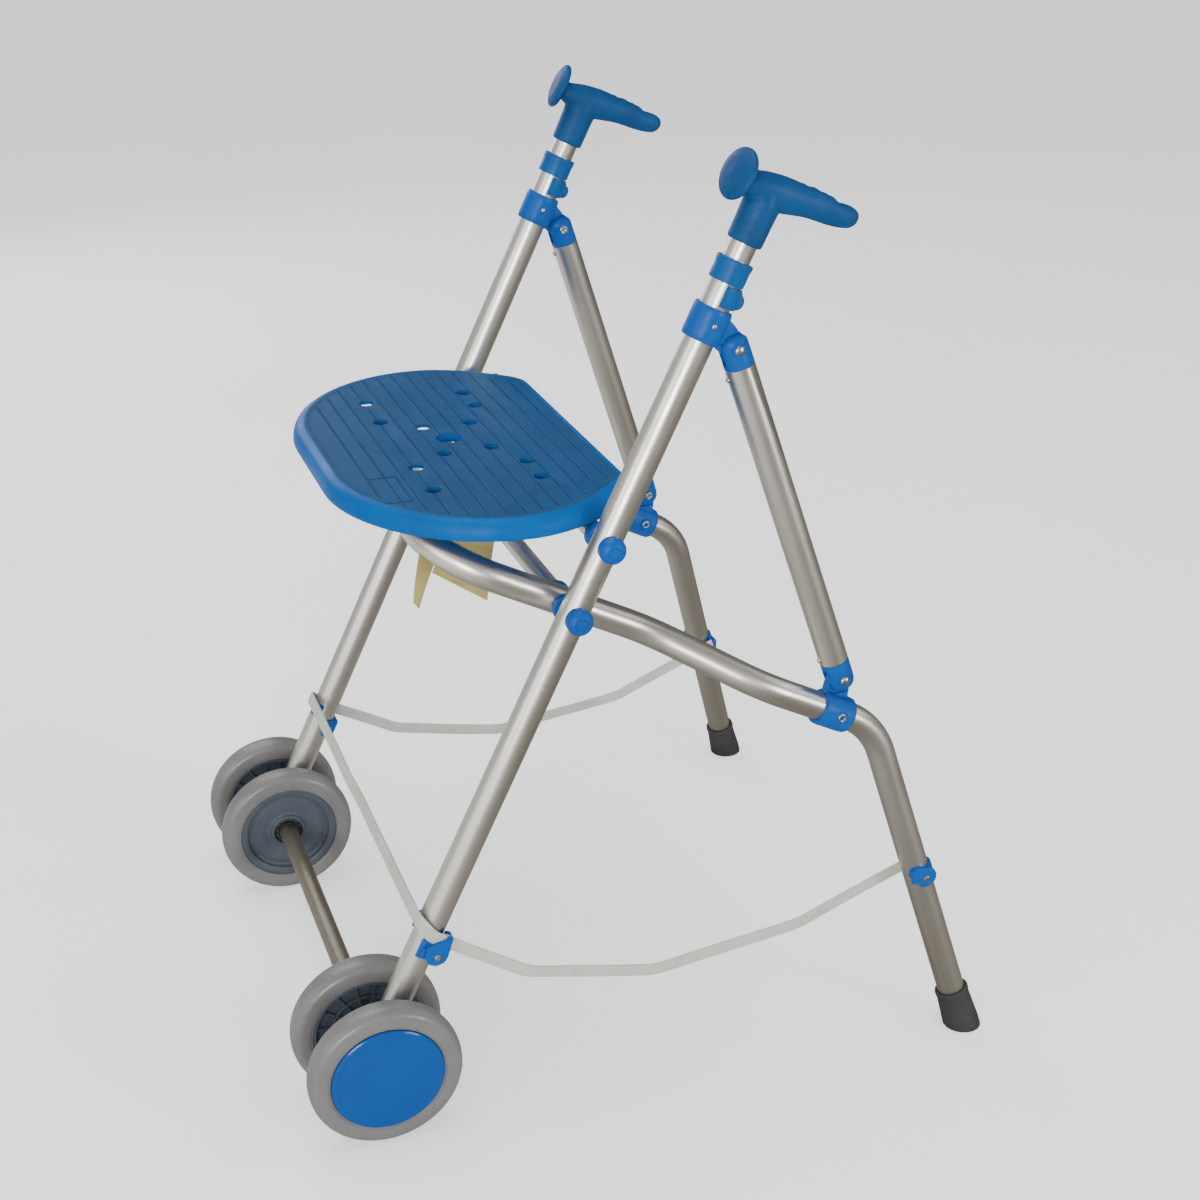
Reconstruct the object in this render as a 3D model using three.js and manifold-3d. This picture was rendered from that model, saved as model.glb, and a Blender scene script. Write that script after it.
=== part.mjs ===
// Folding walking frame with a seat, twin front wheels and rubber-tipped rear legs.
// Millimetres, +Z up, -Y towards the wheels, +X the user's left. The floor is z = 0 and
// the origin is on the floor under the middle of the frame's bounding box.
import * as THREE from 'three';
import { mergeVertices } from 'three/addons/utils/BufferGeometryUtils.js';
import Module from 'manifold-3d';

const wasm = await Module();
wasm.setup();

// ---- driving dimensions -------------------------------------------------------------
const GAP = 0.3;                 // between parts that touch
const RUN = 0.6;                 // radial clearance of parts that turn
const TUBE_SIDES = 20;

const AXLE_Y = -276;             // front axle, behind the bounding box's front face
const LEG_X = 232;               // half spacing of the front legs
const LEG_LEAN = 25.64;          // degrees from vertical, leaning back towards the user
const TUBE_R = 14;
const TUBE_BORE_R = 13.1;
const LEG_BOTTOM = -17;          // distances along the leg are measured from the axle
const LEG_TOP = 816;
const PIVOT_AT = 474.8;          // rear frame pivot, distance up the front leg
const SEAT_BAR_AT = 547;         // seat hinge bar, distance up the front leg
const CROSS_TUBE_R = 9;
const CROSS_TUBE_END = 248;

const WHEEL_R = 75;
const TYRE_BORE_R = 55.5;
const TYRE_HALF_WIDTH = 15;
const WHEEL_OFFSET = 39;         // wheel centre plane from the leg's centre
const AXLE_R = 10;
const AXLE_END = 282.4;

const COLLAR_R = 17.7;
const COLLAR_FROM = 747;
const COLLAR_TO = 778;
const CLIP_FROM = 781;
const CLIP_TO = 797;
const BUSHING_TO = 822;

const HANDLE_R = 12.5;
const HANDLE_BORE_R = 11;
const HANDLE_FROM = 640;
const HANDLE_TO = 866;
const GRIP_AT = 889.5;           // grip axis, distance up the leg's line
const SOCKET_FROM = 837.5;

const ARM_X = 200;               // seat loop's arms, inside the front legs
const ARM_REAR_X = 257;          // the same arms behind the outward sweep
const ARM_SLOPE = 27.4;          // degrees, falling towards the rear
const LOOP_FRONT_Y = -188;
const KNEE = [259, 229, 348];    // where an arm turns down into a rear leg
const FOOT = [309, 330.8, 0];
const SWEEP_REAR_Y = 109;        // the arms' outward sweep ends here
const SWEEP_FRONT_Y = 14;

const LINK_TOP = [234.8, 78.9, 739.3];
const LINK_BOTTOM = [255.5, 190.5, 407];
const SADDLE_Y = 184;
const EAR_HALF = 4.5;
const EAR_R = 11.5;
const PIN_R = 3;

const SEAT_TOP = 600;
const SEAT_DECK = 6;
const SEAT_RIM = 19;
const SEAT_FRONT_Y = -257;
const SEAT_REAR_Y = 15;
const SEAT_HALF_WIDTH = 230;

const STRAP_THICK = 2;
const STRAP_WIDTH = 13;
const FRONT_BRACKET_AT = 122;    // distance up the front leg
const FRONT_STRAP_AT = 136.5;
const REAR_BRACKET_Z = 184;

const ALUMINIUM = { color: 0xbfb9ac, roughness: 0.35, metalness: 0.9 };
const BLUE = { color: 0x146cb8, roughness: 0.45, metalness: 0 };
const GLOSS_BLUE = { color: 0x1070cc, roughness: 0.15, metalness: 0 };
const SEAT_BLUE = { color: 0x1c66a8, roughness: 0.55, metalness: 0 };
const STEEL = { color: 0xc4c6c8, roughness: 0.25, metalness: 1 };
const TYRE_GREY = { color: 0x96928e, roughness: 0.7, metalness: 0 };
const HUB_GREY = { color: 0x505a64, roughness: 0.55, metalness: 0 };
const TIP_GREY = { color: 0x3c3e40, roughness: 0.8, metalness: 0 };
const STRAP_GREY = { color: 0xb2b4ac, roughness: 0.6, metalness: 0 };

// ---- derived positions ----------------------------------------------------------------
const lean = THREE.MathUtils.degToRad(LEG_LEAN);
const armSlope = Math.tan(THREE.MathUtils.degToRad(ARM_SLOPE));
const pivot = onLeg(PIVOT_AT);
const seatBar = onLeg(SEAT_BAR_AT);

function onLeg(distance) {
  return { y: AXLE_Y + Math.sin(lean) * distance, z: WHEEL_R + Math.cos(lean) * distance };
}

function armZ(y) {
  return pivot.z - armSlope * (y - pivot.y);
}

// ---- solid helpers ----------------------------------------------------------------------
// Merges the seams and turns the faces outwards.
function closed(geometry) {
  const bare = new THREE.BufferGeometry();
  bare.setAttribute('position', geometry.getAttribute('position'));
  if (geometry.index) bare.setIndex(geometry.index);
  const merged = mergeVertices(bare, 1e-4);
  const position = merged.getAttribute('position');
  const index = Array.from(merged.index.array);
  const kept = [];
  let volume = 0;
  for (let i = 0; i < index.length; i += 3) {
    const [a, b, c] = index.slice(i, i + 3);
    if (a === b || b === c || c === a) continue;
    const p = [a, b, c].map((k) => new THREE.Vector3().fromBufferAttribute(position, k));
    volume += p[0].dot(p[1].clone().cross(p[2]));
    kept.push(a, b, c);
  }
  if (volume < 0) kept.reverse();
  merged.setIndex(kept);
  return merged;
}

function toManifold(geometry) {
  const shell = closed(geometry);
  return new wasm.Manifold(new wasm.Mesh({
    numProp: 3,
    vertProperties: new Float32Array(shell.getAttribute('position').array),
    triVerts: new Uint32Array(shell.index.array),
  }));
}

function toGeometry(body) {
  const mesh = body.getMesh();
  const geometry = new THREE.BufferGeometry();
  geometry.setAttribute('position', new THREE.BufferAttribute(new Float32Array(mesh.vertProperties), 3));
  geometry.setIndex(new THREE.BufferAttribute(new Uint32Array(mesh.triVerts), 1));
  return geometry;
}

function join(...parts) {
  return toGeometry(parts.map(toManifold).reduce((sum, part) => sum.add(part)));
}

function cut(body, ...tools) {
  return toGeometry(tools.map(toManifold).reduce((rest, tool) => rest.subtract(tool), toManifold(body)));
}

// A profile of [radius, height] pairs turned about +Z.
function turned(profile, segments = 16) {
  const points = profile.map(([radius, height]) => new THREE.Vector2(radius, height));
  return new THREE.LatheGeometry(points, segments).rotateX(Math.PI / 2);
}

function rod(radius, from, to, segments = 16) {
  return turned([[0, from], [radius, from], [radius, to], [0, to]], segments);
}

function pipe(outer, inner, from, to, segments = TUBE_SIDES) {
  return turned([[inner, from], [outer, from], [outer, to], [inner, to], [inner, from]], segments);
}

function alongX(geometry) {
  return geometry.rotateY(Math.PI / 2);
}

// Turns a shape built about +Z so that it runs along -Y, its top to the front.
function alongFront(geometry) {
  return geometry.rotateX(Math.PI / 2);
}

function box(x, y, z) {
  return new THREE.BoxGeometry(x[1] - x[0], y[1] - y[0], z[1] - z[0])
    .translate((x[0] + x[1]) / 2, (y[0] + y[1]) / 2, (z[0] + z[1]) / 2);
}

// A side view outline of [y, z] pairs, as a plate between two x positions.
function plate(outline, x0, x1) {
  const shape = new THREE.Shape(outline.map(([y, z]) => new THREE.Vector2(y, z)));
  const geometry = new THREE.ExtrudeGeometry(shape, { depth: x1 - x0, bevelEnabled: false });
  const cyclic = new THREE.Matrix4().makeBasis(
    new THREE.Vector3(0, 1, 0),
    new THREE.Vector3(0, 0, 1),
    new THREE.Vector3(1, 0, 0),
  );
  return geometry.applyMatrix4(cyclic).translate(x0, 0, 0);
}

// The outline round two circles, each [y, z, radius].
function capsule(a, b, steps = 6) {
  const outline = [];
  const heading = Math.atan2(b[1] - a[1], b[0] - a[0]);
  for (const [centre, start] of [[a, heading + Math.PI / 2], [b, heading - Math.PI / 2]]) {
    for (let i = 0; i <= steps; i += 1) {
      const angle = start + (Math.PI * i) / steps;
      outline.push([centre[0] + centre[2] * Math.cos(angle), centre[1] + centre[2] * Math.sin(angle)]);
    }
  }
  return outline;
}

// A run of straight lines with rounded corners; corners are [x, y, z, bend radius].
class BentPath extends THREE.Curve {
  constructor(corners, degreesPerStep) {
    super();
    this.knots = [];
    const at = corners.map((c) => new THREE.Vector3(c[0], c[1], c[2]));
    corners.forEach((corner, i) => {
      const before = at[i - 1] && at[i].clone().sub(at[i - 1]).normalize();
      const after = at[i + 1] && at[i + 1].clone().sub(at[i]).normalize();
      if (!before || !after) {
        this.knots.push([at[i], before || after]);
        return;
      }
      const bend = before.angleTo(after);
      const steps = Math.max(2, Math.round(THREE.MathUtils.radToDeg(bend) / degreesPerStep));
      const reach = corner[3] * Math.tan(bend / 2);
      const start = at[i].clone().addScaledVector(before, -reach);
      const inward = after.clone().addScaledVector(before, -after.dot(before)).normalize();
      for (let k = 0; k <= steps; k += 1) {
        const angle = (bend * k) / steps;
        const point = start.clone()
          .addScaledVector(before, corner[3] * Math.sin(angle))
          .addScaledVector(inward, corner[3] * (1 - Math.cos(angle)));
        const tangent = before.clone()
          .multiplyScalar(Math.cos(angle))
          .addScaledVector(inward, Math.sin(angle));
        this.knots.push([point, tangent]);
      }
    });
  }

  get steps() {
    return this.knots.length - 1;
  }

  getUtoTmapping(u) {
    return u;
  }

  getPoint(t) {
    return this.knots[Math.round(t * this.steps)][0].clone();
  }

  getTangent(t) {
    return this.knots[Math.round(t * this.steps)][1].clone();
  }
}

function bentPipe(corners, outer, inner, sides, degreesPerStep) {
  const path = new BentPath(corners, degreesPerStep);
  const ring = (radius) => Array.from({ length: sides }, (_, i) => {
    const angle = (2 * Math.PI * i) / sides;
    return new THREE.Vector2(radius * Math.cos(angle), radius * Math.sin(angle));
  });
  const shape = new THREE.Shape(ring(outer));
  shape.holes.push(new THREE.Path(ring(inner)));
  return new THREE.ExtrudeGeometry(shape, { steps: path.steps, extrudePath: path, bevelEnabled: false });
}

// ---- assembly helpers -------------------------------------------------------------------
const group = new THREE.Group();
group.name = 'walking_frame';

function add(parent, name, geometry, look) {
  const mesh = new THREE.Mesh(closed(geometry), new THREE.MeshStandardMaterial(look));
  mesh.geometry.computeVertexNormals();
  mesh.name = name;
  parent.add(mesh);
  return mesh;
}

// A frame at the axle with +Z up the leg and +Y square to it, towards the user.
function legFrame(name, x) {
  const frame = new THREE.Group();
  frame.name = name;
  frame.position.set(x, AXLE_Y, WHEEL_R);
  frame.rotation.x = -lean;
  group.add(frame);
  return frame;
}

// A world point as [y, z] in a leg frame.
function inLegFrame([, y, z]) {
  const dy = y - AXLE_Y;
  const dz = z - WHEEL_R;
  return [dy * Math.cos(lean) - dz * Math.sin(lean), dy * Math.sin(lean) + dz * Math.cos(lean)];
}

// ---- front frame --------------------------------------------------------------------------
function frontLeg() {
  const tube = pipe(TUBE_R, TUBE_BORE_R, LEG_BOTTOM, LEG_TOP);
  const crossHoles = [PIVOT_AT, SEAT_BAR_AT].map(
    (height) => alongX(rod(CROSS_TUBE_R + GAP, -20, 20)).translate(0, 0, height),
  );
  const axleHole = alongX(rod(AXLE_R + GAP, -20, 20));
  const clipHole = alongFront(rod(3.6, -20, -5, 10)).translate(0, 0, (CLIP_FROM + CLIP_TO) / 2);
  return cut(tube, ...crossHoles, axleHole, clipHole);
}

function upperCollar(side) {
  const [earY, earZ] = inLegFrame(LINK_TOP);
  const earX = side * (LINK_TOP[0] - LEG_X);
  const sleeve = rod(COLLAR_R, COLLAR_FROM, COLLAR_TO, TUBE_SIDES);
  const earOutline = capsule([14, COLLAR_FROM + 15, 14], [earY, earZ, EAR_R]);
  const ear = plate(earOutline, earX - EAR_HALF, earX + EAR_HALF);
  const bore = rod(TUBE_R + GAP, COLLAR_FROM - 9, COLLAR_TO + 9, TUBE_SIDES);
  const pinHole = alongX(rod(PIN_R + RUN, -20, 20, 10)).translate(0, earY, earZ);
  return cut(join(sleeve, ear), bore, pinHole);
}

function guideBushing() {
  return turned([
    [HANDLE_R + 0.5, BUSHING_TO], [HANDLE_R + 0.5, LEG_TOP + GAP], [TUBE_R + GAP, LEG_TOP + GAP],
    [TUBE_R + GAP, 801], [16.5, 801], [16.5, BUSHING_TO], [HANDLE_R + 0.5, BUSHING_TO],
  ], TUBE_SIDES);
}

function domedCap() {
  return alongX(turned([[0, 0], [12.6, 0], [12.8, 3], [11, 6.5], [7, 9], [0, 10]], 20))
    .translate(CROSS_TUBE_END - LEG_X + GAP, 0, 0);
}

// A washer with a tube through it, between a leg and what turns beside it.
function spacer(radius, from, to) {
  return alongX(pipe(radius, CROSS_TUBE_R + 0.4, from, to));
}

// A clip round the leg's outer side, with a cheek that holds the strap ends against the leg.
function frontStrapBracket(side) {
  const middle = FRONT_BRACKET_AT;
  const band = pipe(17, TUBE_R + GAP, middle - 10, middle + 10);
  const opening = box([-30, 2], [-30, 5], [middle - 20, middle + 20]);
  const wall = box([6, 20.5], [11, 17.5], [middle - 9, middle + 19]);
  const cheek = plate([
    [-4, middle + 4], [-1, middle - 7.5], [5, middle - 12.5], [12, middle - 12.5],
    [18.5, middle - 7], [19.5, middle], [16, middle + 18], [11, middle + 17],
  ], 19, 22);
  const hull = join(cut(band, opening), wall, cheek);
  const bracket = cut(hull, rod(TUBE_R + GAP, middle - 40, middle + 40));
  return side > 0 ? bracket : mirrorX(bracket);
}

function frontStrap() {
  const outer = [[LEG_X + 18.5, 6], [LEG_X + 17.5, -9], [LEG_X + 11, -18.5], [LEG_X, -21]];
  const inner = [[LEG_X + 16.5, 6], [LEG_X + 15.5, -8.2], [LEG_X + 9.8, -16.7], [LEG_X, -19]];
  const mirrored = (points) => points.map(([x, y]) => [-x, y]).reverse();
  const outline = [...outer, ...mirrored(outer), ...mirrored(inner).reverse(), ...inner.slice().reverse()];
  const shape = new THREE.Shape(outline.map(([x, y]) => new THREE.Vector2(x, y)));
  return new THREE.ExtrudeGeometry(shape, { depth: STRAP_WIDTH, bevelEnabled: false })
    .translate(0, 0, FRONT_STRAP_AT);
}

function buildFrontFrame() {
  for (const [word, side] of [['left', 1], ['right', -1]]) {
    const leg = legFrame(`${word}_leg_line`, side * LEG_X);
    add(leg, `front_leg_${word}`, frontLeg(), ALUMINIUM);
    add(leg, `upper_collar_${word}`, upperCollar(side), BLUE);
    add(leg, `guide_bushing_${word}`, guideBushing(), BLUE);
    add(leg, `front_strap_bracket_${word}`, frontStrapBracket(side), BLUE);
    const outside = side > 0 ? 0 : Math.PI;
    const capAt = (height) => domedCap().rotateZ(outside).translate(0, 0, height);
    add(leg, `pivot_cap_${word}`, capAt(PIVOT_AT), BLUE);
    add(leg, `seat_bar_cap_${word}`, capAt(SEAT_BAR_AT), BLUE);
    const spacerAt = (radius, width, height) => spacer(radius, -TUBE_R - GAP - width, -TUBE_R - GAP)
      .rotateZ(outside).translate(0, 0, height);
    add(leg, `pivot_spacer_${word}`, spacerAt(14.5, 3.1, PIVOT_AT), BLUE);
    add(leg, `seat_bar_ring_${word}`, spacerAt(12.5, 10, SEAT_BAR_AT), BLUE);
    buildHandle(leg, word);
    buildLockClip(leg, word);
  }
  const crossTube = () => alongX(pipe(CROSS_TUBE_R, CROSS_TUBE_R - 1.5, -CROSS_TUBE_END, CROSS_TUBE_END));
  add(group, 'lower_cross_tube', crossTube(), ALUMINIUM).position.set(0, pivot.y, pivot.z);
  add(group, 'upper_cross_tube', crossTube(), ALUMINIUM).position.set(0, seatBar.y, seatBar.z);
  const axle = alongX(pipe(AXLE_R, AXLE_R - 1.5, -AXLE_END, AXLE_END));
  add(group, 'wheel_axle', axle, ALUMINIUM).position.set(0, AXLE_Y, WHEEL_R);
  add(legFrame('strap_line', 0), 'front_strap', frontStrap(), STRAP_GREY);
}

// ---- handles ------------------------------------------------------------------------------
function grip() {
  const socket = turned([
    [0, SOCKET_FROM], [16, SOCKET_FROM], [16.6, SOCKET_FROM + 2], [17.4, 876], [14, 893], [0, 897],
  ]);
  const palm = turned([
    [0, 28], [10, 28], [12.5, 12], [14.5, 0], [14.5, -20], [13, -34], [11, -52], [9.8, -70], [10.3, -82],
    [8, -90], [0, -94],
  ]).rotateX(Math.PI / 2).translate(0, 0, GRIP_AT);
  const disc = turned([[0, 25], [12, 25], [23.5, 30], [24.3, 32], [23, 34], [13, 36.6], [0, 37.4]])
    .rotateX(Math.PI / 2).translate(0, 0, GRIP_AT);
  return cut(join(socket, palm, disc), rod(HANDLE_R + GAP, SOCKET_FROM - 9, HANDLE_TO + GAP));
}

function buildHandle(leg, word) {
  add(leg, `handle_tube_${word}`, pipe(HANDLE_R, HANDLE_BORE_R, HANDLE_FROM, HANDLE_TO), ALUMINIUM);
  add(leg, `grip_${word}`, grip(), BLUE);
}

// A half-round spring clip behind the leg; its peg ends in the wall, short of the handle tube.
function lockClip() {
  const height = (CLIP_FROM + CLIP_TO) / 2;
  const band = pipe(17, TUBE_R + GAP, CLIP_FROM, CLIP_TO);
  const frontHalf = box([-30, 30], [-30, 1], [CLIP_FROM - 5, CLIP_TO + 5]);
  const button = alongFront(rod(7, -24, -15.5, 16)).translate(0, 0, height);
  const peg = alongFront(rod(2.8, -16, -TUBE_R + 0.6, 10)).translate(0, 0, height);
  return join(cut(band, frontHalf), button, peg);
}

function buildLockClip(leg, word) {
  add(leg, `lock_clip_${word}`, lockClip(), BLUE);
}

// ---- wheels -------------------------------------------------------------------------------
function tyre() {
  const w = TYRE_HALF_WIDTH;
  return alongX(turned([
    [TYRE_BORE_R, -w + 1], [65, -w + 1], [72, -w + 5], [WHEEL_R, -w + 11], [WHEEL_R, w - 11],
    [72, w - 5], [65, w - 1], [TYRE_BORE_R, w - 1], [TYRE_BORE_R, -w + 1],
  ], 28));
}

// The web is nearer the face away from the leg; the boss runs on towards the leg at +X.
function hub() {
  const bore = AXLE_R + RUN;
  const rim = TYRE_BORE_R - 0.8;
  return alongX(turned([
    [bore, -8], [49, -8], [51, -12], [rim, -12], [rim, 12], [51, 12], [49, -4],
    [18, -4], [15, 22.5], [bore, 22.5], [bore, -8],
  ], 20));
}

function hubCap() {
  const radius = TYRE_BORE_R - 0.5;
  return alongX(turned([[0, -12.3], [radius, -12.3], [radius, -14.6], [52, -15.6], [0, -15.6]], 28));
}

function buildWheels() {
  for (const [word, side] of [['left', 1], ['right', -1]]) {
    for (const [place, offset] of [['outer', WHEEL_OFFSET], ['inner', -WHEEL_OFFSET]]) {
      const wheel = new THREE.Group();
      wheel.name = `${place}_wheel_${word}`;
      wheel.position.set(side * (LEG_X + offset), AXLE_Y, WHEEL_R);
      const facesLeft = side * offset > 0;
      if (facesLeft) wheel.rotation.z = Math.PI;
      group.add(wheel);
      add(wheel, `tyre_${place}_${word}`, tyre(), TYRE_GREY);
      add(wheel, `hub_${place}_${word}`, hub(), HUB_GREY);
      if (place === 'outer') add(wheel, `hub_cap_${word}`, hubCap(), GLOSS_BLUE);
    }
  }
}

// ---- rear frame ---------------------------------------------------------------------------
function alongShin(height) {
  const t = height / KNEE[2];
  return FOOT.map((value, i) => value + (KNEE[i] - value) * t);
}

function seatFrameTube() {
  const end = alongShin(9);
  const half = [
    [...end, 0],
    [...KNEE, 75],
    [ARM_REAR_X, SWEEP_REAR_Y, armZ(SWEEP_REAR_Y), 110],
    [ARM_X, SWEEP_FRONT_Y, armZ(SWEEP_FRONT_Y), 110],
    [ARM_X, LOOP_FRONT_Y, armZ(LOOP_FRONT_Y), 63],
  ];
  const mirrored = half.map(([x, ...rest]) => [-x, ...rest]).reverse();
  const tube = bentPipe([...half, ...mirrored], TUBE_R, TUBE_BORE_R, 14, 22);
  const pivotHole = alongX(rod(CROSS_TUBE_R + RUN, -240, 240)).translate(0, pivot.y, pivot.z);
  return cut(tube, pivotHole);
}

// Points a shape built about +Z up the left rear leg, its origin where the leg meets the floor.
function onShin(geometry) {
  const direction = new THREE.Vector3(...KNEE).sub(new THREE.Vector3(...FOOT)).normalize();
  const turn = new THREE.Quaternion().setFromUnitVectors(new THREE.Vector3(0, 0, 1), direction);
  return geometry.applyQuaternion(turn).translate(...FOOT);
}

function mirrorX(geometry) {
  return geometry.scale(-1, 1, 1);
}

function rubberTip() {
  const body = onShin(turned([
    [0, -12], [19.5, -12], [19.2, 3], [16.8, 40], [17.6, 41], [17.6, 45], [16, 46], [0, 46],
  ]));
  const socket = onShin(rod(TUBE_R + GAP, 9, 60, 20));
  const belowFloor = box([200, 400], [200, 450], [-60, 0]);
  return cut(body, socket, belowFloor);
}

function saddle() {
  const armStart = new THREE.Vector3(ARM_REAR_X, SWEEP_REAR_Y, armZ(SWEEP_REAR_Y));
  const armRun = new THREE.Vector3(...KNEE).sub(armStart);
  const along = armRun.clone().normalize();
  const centre = armStart.clone().addScaledVector(armRun, (SADDLE_Y - SWEEP_REAR_Y) / armRun.y);
  const turn = new THREE.Quaternion().setFromUnitVectors(new THREE.Vector3(0, 0, 1), along);
  const onArm = (geometry) => geometry.applyQuaternion(turn).translate(...centre);
  const sleeve = onArm(rod(COLLAR_R, -17, 17, TUBE_SIDES));
  const ear = plate(
    capsule([SADDLE_Y + 1, centre.z + 8, 13], [LINK_BOTTOM[1], LINK_BOTTOM[2], EAR_R]),
    LINK_BOTTOM[0] - EAR_HALF,
    LINK_BOTTOM[0] + EAR_HALF,
  );
  const bore = onArm(rod(TUBE_R + GAP + 0.1, -30, 30, TUBE_SIDES));
  const pinHole = alongX(rod(PIN_R + RUN, 230, 280, 10)).translate(0, LINK_BOTTOM[1], LINK_BOTTOM[2]);
  return cut(join(sleeve, ear), bore, pinHole);
}

// A clip round the leg's outer and rear sides, with a boss for its screw and a tab for the strap.
function rearStrapBracket() {
  const shinLength = Math.hypot(FOOT[0] - KNEE[0], FOOT[1] - KNEE[1], KNEE[2]);
  const height = REAR_BRACKET_Z * shinLength / KNEE[2];
  const [x, y, z] = alongShin(REAR_BRACKET_Z);
  const band = onShin(rod(17, height - 7, height + 7));
  const opening = box([x - 40, x + 3], [y - 40, y + 6], [z - 40, z + 40]);
  const boss = alongX(rod(12, 8, 18.5, 20)).translate(x, y + 2, z);
  const tab = box([x - 17, x + 3], [y + 12, y + 19], [z - 8, z + 8]);
  const bore = onShin(rod(TUBE_R + GAP, height - 40, height + 40));
  return cut(join(cut(band, opening), boss, tab), bore);
}

function buildRearFrame() {
  add(group, 'seat_frame_tube', seatFrameTube(), ALUMINIUM);
  for (const [word, place] of [['left', (geometry) => geometry], ['right', mirrorX]]) {
    add(group, `rubber_tip_${word}`, place(rubberTip()), TIP_GREY);
    add(group, `saddle_${word}`, place(saddle()), BLUE);
    add(group, `rear_strap_bracket_${word}`, place(rearStrapBracket()), BLUE);
  }
}

// ---- links --------------------------------------------------------------------------------
// Built at the top pin with -Z towards the bottom pin; the pins stay parallel to X.
const linkRun = new THREE.Vector3(...LINK_BOTTOM).sub(new THREE.Vector3(...LINK_TOP));
const linkLength = linkRun.length();
const linkTurn = new THREE.Quaternion().setFromUnitVectors(
  new THREE.Vector3(0, 0, -1),
  linkRun.clone().normalize(),
);
const FITTING_FACE = 18;
const ROD_R = 8.4;
const ROD_OFFSET = 3.75;         // outwards: the link leans, so the rod crosses its bore as it slides

function onLink(geometry) {
  return geometry.applyQuaternion(linkTurn).translate(...LINK_TOP);
}

// A round-ended fork round an ear, with a spigot into its tube. `towards` is 1 at the top pin
// and -1 at the bottom one.
function fork([x, y, z], towards, spigotRadius, spigotOffset) {
  const radius = 13.8;
  const face = -towards * FITTING_FACE;
  const spigotEnd = -towards * (FITTING_FACE + 14);
  const head = turned([
    [0, face], [radius, face], [radius, 0], [radius * 0.87, radius * towards * 0.5],
    [radius * 0.5, radius * towards * 0.87], [0, radius * towards],
  ], TUBE_SIDES);
  const spigotEnds = [face + towards, spigotEnd].sort((a, b) => a - b);
  const spigot = rod(spigotRadius, ...spigotEnds).translate(spigotOffset, 0, 0);
  const body = onLink(join(head, spigot).translate(0, 0, towards > 0 ? 0 : -linkLength));
  const inward = linkRun.clone().multiplyScalar(towards / Math.hypot(linkRun.y, linkRun.z));
  const corner = (across, along) => [
    y - inward.z * across + inward.y * along,
    z + inward.y * across + inward.z * along,
  ];
  const slotHalf = EAR_HALF + 0.8;
  const slotFloor = EAR_R + 1.6;
  const slotOutline = [corner(-25, -30), corner(25, -30), corner(25, slotFloor), corner(-25, slotFloor)];
  const slot = plate(slotOutline, x - slotHalf, x + slotHalf);
  return cut(body, slot, alongX(rod(PIN_R + GAP, -20, 20, 10)).translate(x, y, z));
}

function pin([x, y, z]) {
  return alongX(turned([
    [0, -16.3], [3, -15.9], [4.6, -14.4], [4.6, -14.2], [PIN_R, -14.2], [PIN_R, 14.2], [4.6, 14.2],
    [4.6, 14.4], [3, 15.9], [0, 16.3],
  ], 10)).translate(x, y, z);
}

function buildLinks() {
  for (const [word, place] of [['left', (geometry) => geometry], ['right', mirrorX]]) {
    const bottomFace = -(linkLength - FITTING_FACE);
    const tube = onLink(pipe(TUBE_R, 13, bottomFace + GAP, -FITTING_FACE - GAP));
    const rodPipe = pipe(ROD_R, ROD_R - 1.4, bottomFace + GAP, -70);
    const innerRod = onLink(rodPipe.translate(ROD_OFFSET, 0, 0));
    add(group, `link_tube_${word}`, place(tube), ALUMINIUM);
    add(group, `link_upper_fork_${word}`, place(fork(LINK_TOP, 1, 12.5, 0)), BLUE);
    add(group, `link_rod_${word}`, place(innerRod), ALUMINIUM);
    add(group, `link_lower_fork_${word}`, place(fork(LINK_BOTTOM, -1, 6.5, ROD_OFFSET)), BLUE);
    add(group, `upper_pin_${word}`, place(pin(LINK_TOP)), STEEL);
    add(group, `lower_pin_${word}`, place(pin(LINK_BOTTOM)), STEEL);
  }
}

// ---- seat ---------------------------------------------------------------------------------
// The outline from above, drawn in by the given amount. It narrows towards the rear so that it
// clears the front legs as the seat swings up.
function seatOutline(inset) {
  const front = SEAT_FRONT_Y + inset;
  const rear = SEAT_REAR_Y - inset;
  const x = (value) => value - inset;
  const shape = new THREE.Shape();
  shape.moveTo(-62, front);
  shape.lineTo(62, front);
  shape.bezierCurveTo(x(152), front, x(SEAT_HALF_WIDTH), -185, x(SEAT_HALF_WIDTH), -104);
  shape.bezierCurveTo(x(SEAT_HALF_WIDTH), -74, x(214), -44, x(191), -11 - inset);
  shape.quadraticCurveTo(x(170), rear, 148, rear);
  shape.lineTo(-148, rear);
  shape.quadraticCurveTo(-x(170), rear, -x(191), -11 - inset);
  shape.bezierCurveTo(-x(214), -44, -x(SEAT_HALF_WIDTH), -74, -x(SEAT_HALF_WIDTH), -104);
  shape.bezierCurveTo(-x(SEAT_HALF_WIDTH), -185, -x(152), front, -62, front);
  return shape;
}

const SEAT_HOLES = [
  [0, -117, 12.5], [40, -133, 7], [38, -85, 7], [68, -169, 7], [130, -169, 7], [86, -65, 7], [129.5, -65, 7],
];

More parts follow.
